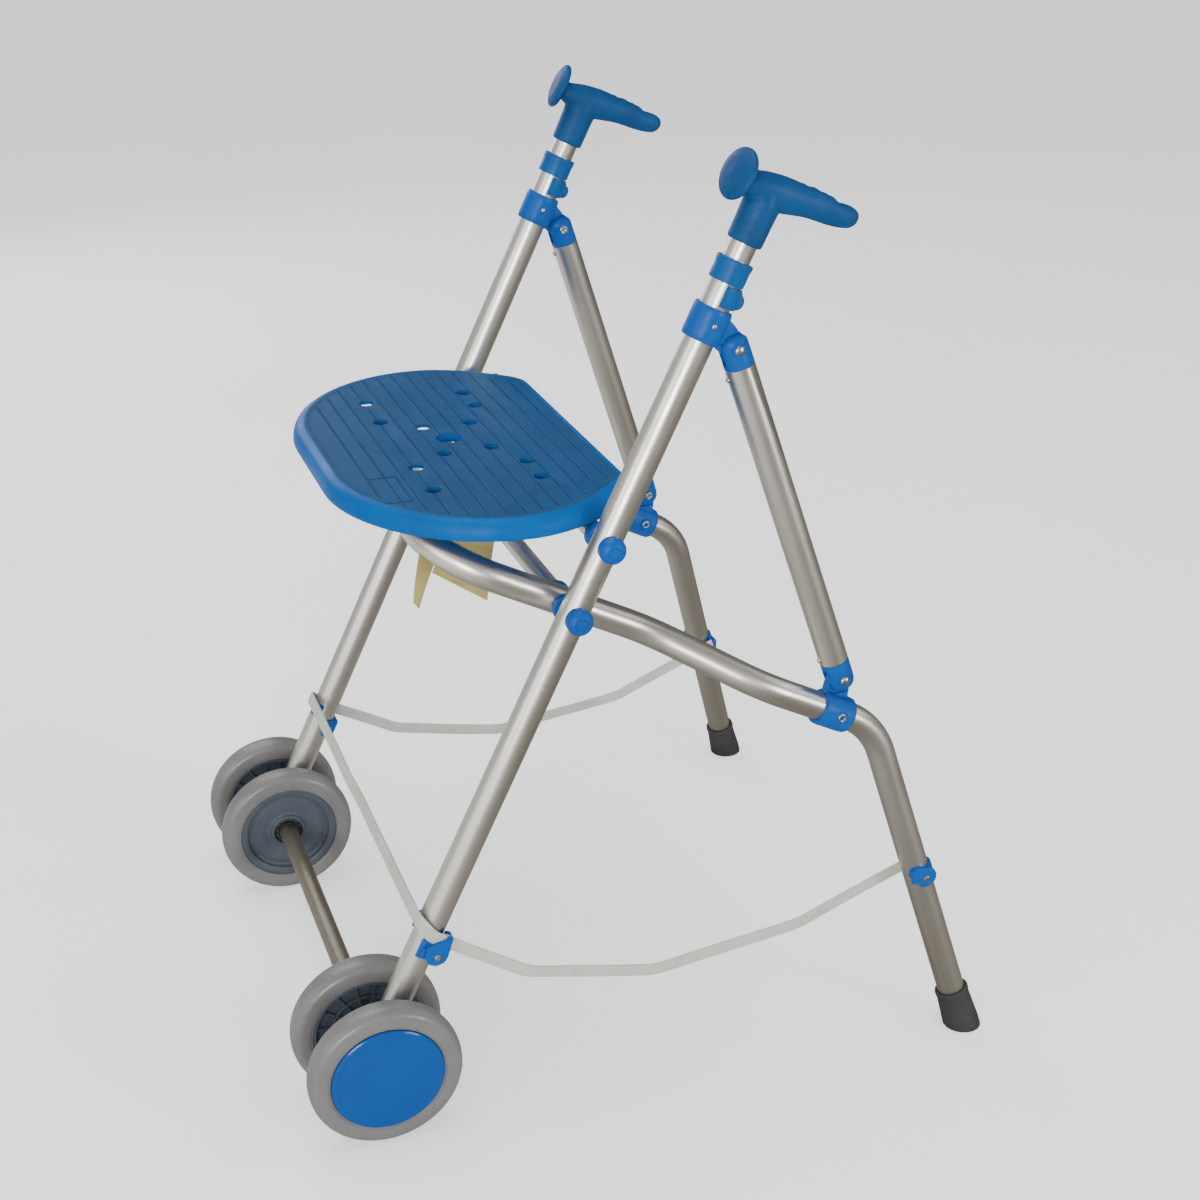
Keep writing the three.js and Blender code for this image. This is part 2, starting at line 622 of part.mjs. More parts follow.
function seat() {
  const bevel = 6;
  const outer = new THREE.ExtrudeGeometry(seatOutline(bevel), {
    depth: SEAT_RIM - 2 * bevel,
    bevelThickness: bevel,
    bevelSize: bevel,
    bevelSegments: 1,
    curveSegments: 5,
  }).translate(0, 0, SEAT_TOP - SEAT_RIM + bevel);
  const deckBottom = SEAT_TOP - SEAT_DECK;
  const hollow = new THREE.ExtrudeGeometry(seatOutline(9), {
    depth: SEAT_RIM,
    bevelEnabled: false,
    curveSegments: 5,
  }).translate(0, 0, deckBottom - SEAT_RIM);
  const ribs = [-160, -105, 105, 160].map(
    (x) => box([x - 1.5, x + 1.5], [-215, 5], [deckBottom - 8, deckBottom + 1]),
  );
  const loopTop = armZ(LOOP_FRONT_Y) + TUBE_R;
  const shelves = [-75, 75].map(
    (x) => box([x - 14, x + 14], [-206, -170], [loopTop + 0.4, deckBottom + 1]),
  );
  const lugs = [-120, 120].map((x) => join(
    alongX(rod(14, x - 13, x + 13)).translate(0, seatBar.y, seatBar.z),
    box([x - 13, x + 13], [seatBar.y - 14, seatBar.y + 14], [seatBar.z, deckBottom + 1]),
  ));
  const bearing = alongX(rod(CROSS_TUBE_R + RUN, -230, 230)).translate(0, seatBar.y, seatBar.z);
  const bothSides = ([x, y, radius]) => (x === 0 ? [[0, y, radius]] : [[x, y, radius], [-x, y, radius]]);
  const holes = SEAT_HOLES.flatMap(bothSides)
    .map(([x, y, radius]) => rod(radius, SEAT_TOP - 40, SEAT_TOP + 5, 10).translate(x, y, 0));
  return cut(join(cut(outer, hollow), ...ribs, ...shelves, ...lugs), bearing, ...holes);
}

// ---- side straps --------------------------------------------------------------------------
// The strap's centre line from the front bracket to the rear one, as [y, z].
const STRAP_LINE = [
  [-198, 186.3], [-188, 180.5], [-134, 144.5], [-97, 133.5], [-56, 124.5], [5, 111.8], [64, 118.8],
  [149, 132], [190, 145.8], [239, 165.8], [286, 185],
];
const STRAP_X = 252;
const STRAP_SPLAY = 0.024;

function sideStrap() {
  const half = STRAP_WIDTH / 2;
  const top = STRAP_LINE.map(([y, z]) => [y, z + half]);
  const bottom = STRAP_LINE.map(([y, z]) => [y, z - half]).reverse();
  const shear = new THREE.Matrix4().makeShear(0, 0, STRAP_SPLAY, 0, 0, 0);
  return plate([...top, ...bottom], 0, STRAP_THICK)
    .translate(0, -STRAP_LINE[0][0], 0)
    .applyMatrix4(shear)
    .translate(STRAP_X - STRAP_THICK / 2, STRAP_LINE[0][0], 0);
}

function buildSeatAndStraps() {
  add(group, 'seat', seat(), SEAT_BLUE);
  add(group, 'side_strap_left', sideStrap(), STRAP_GREY);
  add(group, 'side_strap_right', mirrorX(sideStrap()), STRAP_GREY);
}

buildFrontFrame();
buildWheels();
buildRearFrame();
buildLinks();
buildSeatAndStraps();

export default group;
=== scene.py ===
"""Looks of the folding walking frame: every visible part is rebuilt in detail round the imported
CAD frame. Shapes are made in millimetres in the row frame (+X the user's left, -Y the wheels,
+Z up) and go to metres in finish_mesh(). Left-hand parts are built and mirrored for the right."""
import math

import bmesh
import bpy
import numpy as np
from mathutils import Matrix, Vector


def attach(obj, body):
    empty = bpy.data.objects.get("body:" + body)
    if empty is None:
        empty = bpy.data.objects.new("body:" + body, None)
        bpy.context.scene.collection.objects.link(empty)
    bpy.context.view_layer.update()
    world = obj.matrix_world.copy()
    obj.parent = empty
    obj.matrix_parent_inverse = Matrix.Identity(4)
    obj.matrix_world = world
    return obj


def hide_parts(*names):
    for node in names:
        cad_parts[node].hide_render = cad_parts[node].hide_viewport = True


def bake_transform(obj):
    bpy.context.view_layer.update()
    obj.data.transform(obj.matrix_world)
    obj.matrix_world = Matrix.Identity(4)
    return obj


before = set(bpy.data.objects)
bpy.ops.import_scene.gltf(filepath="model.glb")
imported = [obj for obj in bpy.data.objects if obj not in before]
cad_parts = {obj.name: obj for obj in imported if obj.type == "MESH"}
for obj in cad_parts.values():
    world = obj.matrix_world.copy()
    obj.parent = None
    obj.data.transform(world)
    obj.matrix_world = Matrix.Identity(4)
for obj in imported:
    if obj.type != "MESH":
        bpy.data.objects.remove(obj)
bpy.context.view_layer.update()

# ---- dimensions shared with the CAD ----
AXLE_Y, AXLE_Z = -276.0, 75.0
LEG_X = 232.0
LEAN = math.radians(25.64)
PIVOT_AT, SEAT_BAR_AT = 474.8, 547.0
ARM_SLOPE = math.tan(math.radians(27.4))
KNEE = Vector((259, 229, 348))
FOOT = Vector((309, 330.8, 0))
SHIN_UP = (KNEE - FOOT).normalized()
LINK_TOP = Vector((234.8, 78.9, 739.3))
LINK_BOTTOM = Vector((255.5, 190.5, 407))
SADDLE_Y = 184.0
SEAT_TOP = 600.0
WHEEL_OFFSET = 39.0
CLIP_AT = 789
TUBE, TUBE_BORE = 14, 13.1  # radii of the 28 mm tubes
TELESCOPE, TELESCOPE_BORE = 12.5, 11
SLEEVE_BORE = 14.3  # radius of a fitting's bore round a 28 mm tube
CROSS_HOLE = 9.6
PIN_HOLE = 3.6
EAR_ROUND = 11.5
STRAP = (13, 2.0)  # width, thickness
WELD = 0.002
MM = 0.001
FRONT, REAR = "front_frame", "rear_frame"

LEG = Matrix.Translation((LEG_X, AXLE_Y, AXLE_Z)) @ Matrix.Rotation(-LEAN, 4, "X")
ALONG_X = Matrix.Rotation(math.pi / 2, 4, "Y")
TO_INBOARD = Matrix.Rotation(-math.pi / 2, 4, "Y")
TO_REAR = Matrix.Rotation(-math.pi / 2, 4, "X")
UPSIDE_DOWN = Matrix.Rotation(math.pi, 4, "X")
shift = Matrix.Translation


def on_leg(u, v=0.0, x=0.0):
    """A place in the left leg's frame: u up the leg, v square to it towards the user, x outboard."""
    return LEG @ shift((x, v, u))


PIVOT = on_leg(PIVOT_AT).translation
SEAT_BAR = on_leg(SEAT_BAR_AT).translation


def arm_z(y):
    """The height of the rear frame's arm."""
    return PIVOT.z - ARM_SLOPE * (y - PIVOT.y)


def shin(z):
    """A place on the rear leg's centre line."""
    return FOOT.lerp(KNEE, z / KNEE.z)


ARM_END = Vector((257, 109, arm_z(109)))


# ---- solids ----
def add_object(name, data):
    obj = bpy.data.objects.new(name, data)
    bpy.context.scene.collection.objects.link(obj)
    return obj


def shape(verts, faces, uvs=None):
    """An object whose faces all look outwards."""
    mesh = bpy.data.meshes.new("shape")
    mesh.from_pydata([tuple(v) for v in verts], [], faces)
    if uvs is not None:
        mesh.uv_layers.new(name="UVMap").data.foreach_set("uv", uvs.astype(np.float32).ravel())
    bm = bmesh.new()
    bm.from_mesh(mesh)
    bmesh.ops.recalc_face_normals(bm, faces=bm.faces)
    bm.to_mesh(mesh)
    bm.free()
    return add_object("shape", mesh)


def put(obj, matrix):
    obj.data.transform(matrix)
    if matrix.determinant() < 0:
        obj.data.flip_normals()
    return obj


def across(obj, place):
    """Lays a +Z shape along +X and then sets it in its place."""
    return put(put(obj, ALONG_X), place)


def remove(*objs):
    for obj in objs:
        mesh = obj.data
        bpy.data.objects.remove(obj)
        bpy.data.meshes.remove(mesh)


def apply_modifiers(obj):
    bpy.context.view_layer.update()
    evaluated = obj.evaluated_get(bpy.context.evaluated_depsgraph_get())
    mesh = bpy.data.meshes.new_from_object(evaluated)
    obj.modifiers.clear()
    old, obj.data = obj.data, mesh
    bpy.data.meshes.remove(old)
    return obj


def boolean(body, tools, operation):
    for tool in tools:
        modifier = body.modifiers.new("boolean", "BOOLEAN")
        modifier.operation = operation
        modifier.solver = "EXACT"
        modifier.object = tool
        weld(apply_modifiers(body))
    remove(*tools)
    return body


def weld(obj):
    """Joins the points that a boolean leaves almost in one place."""
    bm = bmesh.new()
    bm.from_mesh(obj.data)
    bmesh.ops.remove_doubles(bm, verts=bm.verts, dist=WELD)
    bmesh.ops.dissolve_degenerate(bm, edges=bm.edges, dist=WELD)
    bm.to_mesh(obj.data)
    bm.free()


def join(body, *tools):
    return boolean(body, tools, "UNION")


def cut(body, *tools):
    return boolean(body, tools, "DIFFERENCE")


def common(body, *tools):
    return boolean(body, tools, "INTERSECT")


def soften(obj, width, segments=3, angle=35):
    """Rounds the sharp edges."""
    modifier = obj.modifiers.new("bevel", "BEVEL")
    modifier.width = width
    modifier.segments = segments
    modifier.limit_method = "ANGLE"
    modifier.angle_limit = math.radians(angle)
    return apply_modifiers(obj)


def gathered(objs):
    """One object holding the meshes of several."""
    bm = bmesh.new()
    for obj in objs:
        bm.from_mesh(obj.data)
    mesh = bpy.data.meshes.new("gathered")
    bm.to_mesh(mesh)
    bm.free()
    first, rest = objs[0], objs[1:]
    old, first.data = first.data, mesh
    bpy.data.meshes.remove(old)
    remove(*rest)
    return first


def rounded(corners, closed=False, steps=5):
    """A flat polyline whose (a, b, radius) corners are rounded."""
    out = []
    last = len(corners) - 1
    for i, corner in enumerate(corners):
        here = Vector(corner[:2])
        radius = corner[2] if len(corner) > 2 else 0
        if radius <= 0 or (not closed and i in (0, last)):
            out.append(here)
            continue
        before = Vector(corners[i - 1][:2]) - here
        after = Vector(corners[(i + 1) % len(corners)][:2]) - here
        half = before.angle(after) / 2
        reach = min(radius / math.tan(half), 0.49 * before.length, 0.49 * after.length)
        middle = (before.normalized() + after.normalized()).normalized()
        centre = here + middle * (reach / math.cos(half))
        start = here + before.normalized() * reach - centre
        end = here + after.normalized() * reach - centre
        a0 = math.atan2(start.y, start.x)
        turn = (math.atan2(end.y, end.x) - a0 + math.pi) % (2 * math.pi) - math.pi
        for k in range(steps + 1):
            a = a0 + turn * k / steps
            out.append(centre + Vector((math.cos(a), math.sin(a))) * start.length)
    return [tuple(p) for p in out]


def lathe(profile, segments=64, closed=False):
    """Turns (radius, height) pairs about +Z. A closed profile makes a ring."""
    angles = [2 * math.pi * k / segments for k in range(segments)]
    verts, rows = [], []
    for radius, height in profile:
        if radius < 1e-6:
            rows.append([len(verts)] * segments)
            verts.append((0, 0, height))
        else:
            rows.append(list(range(len(verts), len(verts) + segments)))
            verts += [(radius * math.cos(a), radius * math.sin(a), height) for a in angles]
    faces = []
    for low, high in list(zip(rows, rows[1:])) + ([(rows[-1], rows[0])] if closed else []):
        for k in range(segments):
            m = (k + 1) % segments
            face = list(dict.fromkeys([low[k], low[m], high[m], high[k]]))
            if len(face) > 2:
                faces.append(face)
    return shape(verts, faces)


def drum(radius, low, high, edge=0.6, segments=64):
    """A solid cylinder with rounded edges."""
    return lathe(rounded([(0, low), (radius, low, edge), (radius, high, edge), (0, high)]), segments)


def ring(outer, inner, low, high, edge=0.6, segments=64):
    corners = [(inner, low, edge * 0.6), (outer, low, edge), (outer, high, edge), (inner, high, edge * 0.6)]
    return lathe(rounded(corners, closed=True), segments, closed=True)


def block(x, y, z, edge=0.0, segments=3):
    verts = [(a, b, c) for a in x for b in y for c in z]
    faces = [(0, 1, 3, 2), (4, 6, 7, 5), (0, 4, 5, 1), (2, 3, 7, 6), (0, 2, 6, 4), (1, 5, 7, 3)]
    obj = shape(verts, faces)
    return soften(obj, edge, segments) if edge else obj


def plate(outline, x0, x1, edge=0.0, segments=3):
    """A side view outline of (y, z) pairs, between two x positions."""
    n = len(outline)
    verts = [(x0, y, z) for y, z in outline] + [(x1, y, z) for y, z in outline]
    faces = [tuple(range(n)), tuple(range(2 * n - 1, n - 1, -1))]
    faces += [(i, (i + 1) % n, n + (i + 1) % n, n + i) for i in range(n)]
    obj = shape(verts, faces)
    return soften(obj, edge, segments) if edge else obj


def capsule(a, b, steps=18):
    """The outline round two circles, each (y, z, radius)."""
    heading = math.atan2(b[1] - a[1], b[0] - a[0])
    out = []
    for centre, start in ((a, heading + math.pi / 2), (b, heading - math.pi / 2)):
        for i in range(steps + 1):
            angle = start + math.pi * i / steps
            out.append((centre[0] + centre[2] * math.cos(angle), centre[1] + centre[2] * math.sin(angle)))
    return out


def bent(corners, step=7.0, spacing=9.0):
    """Points along straight runs with rounded corners, each corner (x, y, z, bend radius)."""
    at = [Vector(c[:3]) for c in corners]
    points = [at[0]]
    for i in range(1, len(at)):
        if i < len(at) - 1:
            before = (at[i] - at[i - 1]).normalized()
            after = (at[i + 1] - at[i]).normalized()
            bend = before.angle(after)
            radius = corners[i][3]
            start = at[i] - before * radius * math.tan(bend / 2)
            inward = (after - before * after.dot(before)).normalized()
            count = max(2, round(math.degrees(bend) / step))
            arc = [
                start + before * radius * math.sin(bend * k / count)
                + inward * radius * (1 - math.cos(bend * k / count))
                for k in range(count + 1)
            ]
        else:
            arc = [at[i]]
        run = arc[0] - points[-1]
        count = max(1, round(run.length / spacing))
        points += [points[-1] + run * (k / count) for k in range(1, count)]
        points += arc
    return points


def travel(points, normal):
    """(point, tangent, normal, distance) along a path, the normal carried without twist."""
    out, distance = [], 0.0
    for i, p in enumerate(points):
        ahead = points[min(i + 1, len(points) - 1)] - p
        behind = p - points[max(i - 1, 0)]
        tangent = (ahead.normalized() + behind.normalized()).normalized()
        normal = (normal - tangent * normal.dot(tangent)).normalized()
        distance += behind.length
        out.append((p, tangent, normal, distance))
    return out


def skin(rows, uvs=None, closed=False):
    """A skin over rings of points. Rings join end to end if closed, and are capped if not.
    uvs holds each ring's step round it and distance along, in millimetres; the map is in metres."""
    n = len(rows[0])
    uvs = uvs or [(0, 0)] * len(rows)
    verts = [p for row in rows for p in row]
    pairs = [(i, i + 1) for i in range(len(rows) - 1)] + ([(len(rows) - 1, 0)] if closed else [])
    faces, loops = [], []
    for i, j in pairs:
        for k in range(n):
            m = (k + 1) % n
            faces.append((i * n + k, i * n + m, j * n + m, j * n + k))
            (ui, vi), (uj, vj) = uvs[i], uvs[j]
            loops += [(ui * k, vi), (ui * (k + 1), vi), (uj * (k + 1), vj), (uj * k, vj)]
    if not closed:
        for row, order in ((0, range(n - 1, -1, -1)), (len(rows) - 1, range(n))):
            faces.append(tuple(row * n + k for k in order))
            loops += [(uvs[row][0] * k, uvs[row][1]) for k in order]
    return shape(verts, faces, np.array(loops) * MM)


def tube(points, outer, inner, sides=56, lip=0.4, normal=Vector((0.3, 1, 0.2))):
    """A hollow tube along points, with UVs round and along it in metres and softened ends."""
    stations = travel(points, normal)
    first, last = stations[0], stations[-1]

    def circle(station, radius, slide=0.0):
        p, tangent, n, distance = station
        b = tangent.cross(n)
        centre = p + tangent * slide
        angles = [2 * math.pi * k / sides for k in range(sides)]
        row = [centre + (n * math.cos(a) + b * math.sin(a)) * radius for a in angles]
        return row, (2 * math.pi * radius / sides, distance + slide)

    walls = [circle(first, outer - lip), circle(first, outer, lip)]
    walls += [circle(s, outer) for s in stations[1:-1]]
    walls += [circle(last, outer, -lip), circle(last, outer - lip)]
    walls += [circle(last, inner + lip * 0.5), circle(last, inner, -lip)]
    walls += [circle(s, inner) for s in reversed(stations[1:-1])]
    walls += [circle(first, inner, lip), circle(first, inner + lip * 0.5)]
    return skin([w[0] for w in walls], [w[1] for w in walls], closed=True)


def band(points, sides, width, thick):
    """A flat strap along points; sides holds its thickness direction at each point."""
    half, t = width / 2, thick / 2
    section = rounded([(-half, -t, 0.8), (half, -t, 0.8), (half, t, 0.8), (-half, t, 0.8)], True, 3)
    perimeter = 2 * (width + thick) / len(section)
    rows, uvs, distance = [], [], 0.0
    for i, p in enumerate(points):
        ahead = points[min(i + 1, len(points) - 1)] - points[max(i - 1, 0)]
        tangent = ahead.normalized()
        n = (sides[i] - tangent * sides[i].dot(tangent)).normalized()
        b = tangent.cross(n)
        distance += (p - points[max(i - 1, 0)]).length
        rows.append([p + b * a + n * c for a, c in section])
        uvs.append((perimeter, distance))
    return skin(rows, uvs)


def straight(a, b, spacing=9.0):
    a, b = Vector(a), Vector(b)
    count = max(2, round((b - a).length / spacing))
    return [a.lerp(b, k / count) for k in range(count + 1)]


def aim(point, direction):
    """A matrix that stands a +Z shape at a point, along a direction."""
    turn = Vector((0, 0, 1)).rotation_difference(Vector(direction))
    return shift(point) @ turn.to_matrix().to_4x4()


# ---- materials ----
def srgb(r, g, b):
    linear = [((c / 255 + 0.055) / 1.055) ** 2.4 if c > 10 else c / 255 / 12.92 for c in (r, g, b)]
    return (*linear, 1)


class Nodes:
    """Builds a node tree with short calls. Any value may be a plain one or another node's output."""

    def __init__(self, name, world=None):
        self.material = world or bpy.data.materials.new(name)
        self.material.use_nodes = True
        self.tree = self.material.node_tree
        self.shader = self.tree.nodes.get("Principled BSDF")
        self.coordinates = self.add("ShaderNodeTexCoord")

    def add(self, kind, **settings):
        node = self.tree.nodes.new(kind)
        for key, value in settings.items():
            setattr(node, key, value)
        return node

    def feed(self, socket, value):
        if isinstance(value, bpy.types.NodeSocket):
            self.tree.links.new(value, socket)
        else:
            socket.default_value = value

    def fill(self, node, **inputs):
        """Feeds a node's inputs by name, with _ for each space."""
        for key, value in inputs.items():
            self.feed(node.inputs[key.replace("_", " ")], value)
        return node

    def where(self, output, scale):
        mapping = self.add("ShaderNodeMapping")
        return self.fill(mapping, Scale=scale, Vector=self.coordinates.outputs[output]).outputs["Vector"]

    def noise(self, scale, detail=3.0, roughness=0.55, stretch=(1, 1, 1), output="Object"):
        node = self.fill(self.add("ShaderNodeTexNoise"), Scale=scale, Detail=detail, Roughness=roughness,
                         Vector=self.where(output, stretch))
        return node.outputs["Fac"]

    def ramp(self, value, low, high, a=0.0, b=1.0):
        node = self.fill(self.add("ShaderNodeMapRange"), Value=value, From_Min=low, From_Max=high,
                         To_Min=a, To_Max=b)
        return node.outputs["Result"]

    def maths(self, operation, a, b):
        node = self.add("ShaderNodeMath", operation=operation)
        for socket, value in zip(node.inputs, (a, b)):
            self.feed(socket, value)
        return node.outputs[0]

    def mix(self, share, a, b):
        node = self.add("ShaderNodeMix", data_type="RGBA")
        self.feed(node.inputs[0], share)
        for socket, value in zip([s for s in node.inputs if s.type == "RGBA"], (a, b)):
            self.feed(socket, value)
        return next(s for s in node.outputs if s.type == "RGBA")

    def tint(self, colour, mask, share, other):
        """Mixes in up to a share of another colour where the mask is bright."""
        return self.mix(self.maths("MULTIPLY", mask, share), colour, other)

    def bump(self, height, depth, strength, normal=None):
        node = self.fill(self.add("ShaderNodeBump"), Strength=strength, Distance=depth, Height=height)
        if normal is not None:
            self.feed(node.inputs["Normal"], normal)
        return node.outputs["Normal"]

    def worn_edges(self):
        edge = self.ramp(self.add("ShaderNodeNewGeometry").outputs["Pointiness"], 0.53, 0.60)
        return self.maths("MULTIPLY", edge, self.ramp(self.noise(260, 4), 0.42, 0.62))

    def set(self, **inputs):
        self.fill(self.shader, **inputs)
        return self.material


def aluminium(name, base, shade, roughness=0.33, seed=0.0):
    """Satin anodised tube: fine draw lines along it, slightly warm, with dull handled patches."""
    n = Nodes(name)
    lines = n.noise(1.0, 4, 0.6, (2600, 26, 1), "UV")
    broad = n.noise(1.0, 3, 0.5, (420, 7, 1), "UV")
    patches = n.noise(16 + seed, 4)
    speck = n.ramp(n.noise(900, 2), 0.70, 0.76)
    share = n.maths("MULTIPLY", n.ramp(lines, 0.3, 0.75), 0.5)
    share = n.maths("ADD", share, n.maths("MULTIPLY", n.ramp(patches, 0.35, 0.7), 0.5))
    colour = n.tint(n.mix(share, srgb(*base), srgb(*shade)), speck, 0.35, srgb(96, 92, 84))
    rough = n.maths("ADD", n.ramp(lines, 0.25, 0.8, -0.05, 0.07),
                    n.ramp(patches, 0.3, 0.75, roughness - 0.03, roughness + 0.08))
    normal = n.bump(lines, 0.00002, 0.35, n.bump(broad, 0.00003, 0.12))
    return n.set(Base_Color=colour, Roughness=rough, Metallic=1.0, Normal=normal, Anisotropic=0.35)


def plastic(name, base, dark, light, roughness, grain=900, depth=0.00006, specular=0.32, coat=0.0,
            wear=0.3):
    """Moulded plastic: colour drift, fine spark-eroded grain, soft scuffs and paler edges."""
    n = Nodes(name)
    light = srgb(*light)
    drift = n.noise(22, 4)
    fine = n.noise(grain, 3, 0.6)
    scuff = n.ramp(n.noise(1.0, 5, 0.65, (70, 340, 120)), 0.60, 0.74)
    colour = n.mix(n.ramp(drift, 0.3, 0.7), srgb(*base), srgb(*dark))
    colour = n.tint(colour, n.ramp(fine, 0.45, 0.8), 0.22, light)
    colour = n.tint(colour, scuff, 0.10 + 0.2 * wear, light)
    colour = n.tint(colour, n.worn_edges(), wear, light)
    rough = n.maths("ADD", n.ramp(drift, 0.3, 0.7, roughness - 0.04, roughness + 0.05),
                    n.ramp(scuff, 0, 1, 0, 0.14))
    normal = n.bump(fine, depth, 0.5, n.bump(n.noise(120, 3), 0.00025, 0.12))
    return n.set(Base_Color=colour, Roughness=rough, Normal=normal, Specular_IOR_Level=specular,
                 Coat_Weight=coat, Coat_Roughness=0.06)


def deck_material():
    """The seat's top: matte, finely stippled and a little dusty, with long wiping scratches."""
    n = Nodes("seat_deck_blue")
    drift = n.noise(14, 5, 0.6)
    dust = n.ramp(n.noise(55, 5, 0.65), 0.40, 0.72)
    stipple = n.noise(1500, 2, 0.5)
    scratch = n.ramp(n.noise(1.0, 3, 0.55, (30, 700, 60)), 0.66, 0.72)
    cross = n.ramp(n.noise(1.0, 3, 0.55, (520, 40, 60)), 0.69, 0.74)
    colour = n.mix(n.ramp(drift, 0.3, 0.7), srgb(4, 72, 122), srgb(0, 62, 108))
    colour = n.tint(colour, dust, 0.22, srgb(52, 92, 124))
    colour = n.tint(colour, n.maths("MAXIMUM", scratch, cross), 0.2, srgb(96, 130, 160))
    rough = n.maths("ADD", n.ramp(dust, 0, 1, 0.47, 0.60), n.ramp(stipple, 0.3, 0.7, -0.03, 0.03))
    normal = n.bump(stipple, 0.00012, 0.55, n.bump(n.noise(90, 3), 0.0003, 0.12))
    return n.set(Base_Color=colour, Roughness=rough, Normal=normal, Specular_IOR_Level=0.18)


def tyre_material():
    """Grey rubber, duller and browner where it is dirty."""
    n = Nodes("tyre_grey_rubber")
    dirt = n.ramp(n.noise(60, 6, 0.7), 0.48, 0.72)
    fine = n.noise(1100, 3)
    colour = n.mix(n.ramp(n.noise(18, 4), 0.3, 0.7), srgb(120, 119, 118), srgb(110, 108, 106))
    colour = n.tint(colour, dirt, 0.35, srgb(98, 95, 90))
    rough = n.maths("ADD", n.ramp(dirt, 0, 1, 0.28, 0.42), n.ramp(fine, 0.3, 0.7, -0.03, 0.03))
    return n.set(Base_Color=colour, Roughness=rough, Normal=n.bump(fine, 0.00008, 0.5))


def strap_material():
    """Light grey webbing-like band with lengthwise ribs and a slightly grubby face."""
    n = Nodes("strap_light_grey")
    weave = n.fill(n.add("ShaderNodeTexWave", wave_type="BANDS", bands_direction="X"),
                   Scale=1.0, Distortion=0.6, Detail=2.0, Vector=n.where("UV", (260, 40, 1)))
    grub = n.ramp(n.noise(48, 5, 0.65), 0.42, 0.75)
    fine = n.noise(1.0, 3, 0.6, (1800, 300, 1), "UV")
    colour = n.mix(n.ramp(n.noise(12, 3), 0.3, 0.7), srgb(200, 201, 194), srgb(186, 187, 178))
    colour = n.tint(colour, grub, 0.35, srgb(158, 154, 140))
    rough = n.maths("ADD", n.ramp(grub, 0, 1, 0.50, 0.64), n.ramp(fine, 0.3, 0.7, -0.04, 0.04))
    normal = n.bump(fine, 0.00008, 0.5, n.bump(weave.outputs["Fac"], 0.00012, 0.5))
    return n.set(Base_Color=colour, Roughness=rough, Normal=normal)


def steel_material():
    n = Nodes("zinc_plated_steel")
    drift = n.noise(320, 4)
    colour = n.mix(n.ramp(drift, 0.35, 0.7), srgb(214, 212, 206), srgb(170, 164, 152))
    return n.set(Base_Color=colour, Roughness=n.ramp(drift, 0.3, 0.75, 0.18, 0.38), Metallic=1.0,
                 Normal=n.bump(n.noise(1600, 3), 0.00003, 0.6))


def card_material():
    n = Nodes("tag_card")
    fibre = n.noise(1.0, 4, 0.7, (700, 260, 900))
    colour = n.mix(n.ramp(n.noise(30, 3), 0.3, 0.7), srgb(202, 186, 122), srgb(186, 168, 102))
    colour = n.tint(colour, n.ramp(fibre, 0.5, 0.8), 0.3, srgb(172, 158, 108))
    return n.set(Base_Color=colour, Roughness=n.ramp(fibre, 0.3, 0.7, 0.62, 0.8),
                 Normal=n.bump(fibre, 0.0001, 0.6))


def make_materials():
    soft = dict(grain=1300, depth=0.00009, specular=0.22, wear=0.2)
    shiny = dict(grain=2400, depth=0.00001, specular=0.22, coat=0.15, wear=0.05)
    rubber = dict(grain=700, depth=0.0001, wear=0.05)
    plastics = {  # material name, base, dark and light colours, roughness, other settings
        "blue": ("blue_moulded_plastic", (0, 82, 164), (0, 70, 144), (26, 116, 196), 0.38,
                 dict(specular=0.2, wear=0.2)),
        "clip": ("blue_nylon", (0, 84, 150), (0, 70, 130), (40, 122, 184), 0.38, dict(specular=0.22)),
        "grip": ("grip_blue_soft", (0, 70, 124), (0, 58, 106), (30, 104, 160), 0.50, soft),
        "gloss": ("gloss_blue_cap", (0, 74, 148), (0, 68, 140), (10, 100, 182), 0.16, shiny),
        "rim": ("seat_rim_blue", (0, 88, 162), (0, 78, 148), (50, 128, 192), 0.42,
                dict(specular=0.10, wear=0.05)),
        # groove: a darker, duller blue on the grooves' walls and floors, painted shade in the recesses.
        "groove": ("seat_groove_painted_shade", (0, 62, 112), (0, 54, 100), (24, 92, 146), 0.6,
                   dict(specular=0.12)),
        "hub": ("hub_slate_plastic", (72, 80, 89), (60, 67, 76), (116, 124, 132), 0.42, {}),
        "tip": ("rubber_tip_dark", (58, 58, 57), (48, 48, 48), (84, 83, 80), 0.68, rubber),
        # dark: a near-black plastic used as painted shade in bores and recesses.
        "dark": ("bore_shadow_plastic", (30, 32, 35), (22, 24, 26), (70, 72, 76), 0.6, {}),
    }
    return {
        "tube": aluminium("satin_aluminium", (228, 226, 220), (204, 200, 191)),
        "tube_inner": aluminium("telescoping_aluminium", (230, 228, 222), (206, 202, 193), 0.31, 5),
        "axle": aluminium("axle_tube", (160, 154, 140), (138, 131, 116), 0.50, 9),
        "deck": deck_material(),
        "tyre": tyre_material(),
        "strap": strap_material(),
        "steel": steel_material(),
        "tag": card_material(),
        **{key: plastic(*values, **settings) for key, (*values, settings) in plastics.items()},
    }


MATERIALS = make_materials()


def finish_mesh(obj, name, material, angle=38):
    """Names a mesh, takes it to metres, shades it and gives it its material or materials."""
    obj.name = name
    obj.data.name = name
    obj.data.transform(Matrix.Scale(MM, 4))
    obj.data.shade_smooth()
    obj.data.set_sharp_from_angle(angle=math.radians(angle))
    obj.data.materials.clear()
    for key in material if isinstance(material, tuple) else (material,):
        obj.data.materials.append(MATERIALS[key])


def piece(obj, name, body, material, node=None, angle=38):
    """Hands over a finished piece, which replaces a CAD node if one is named."""
    finish_mesh(obj, name, material, angle)
    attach(obj, body)
    if node:
        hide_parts(node)


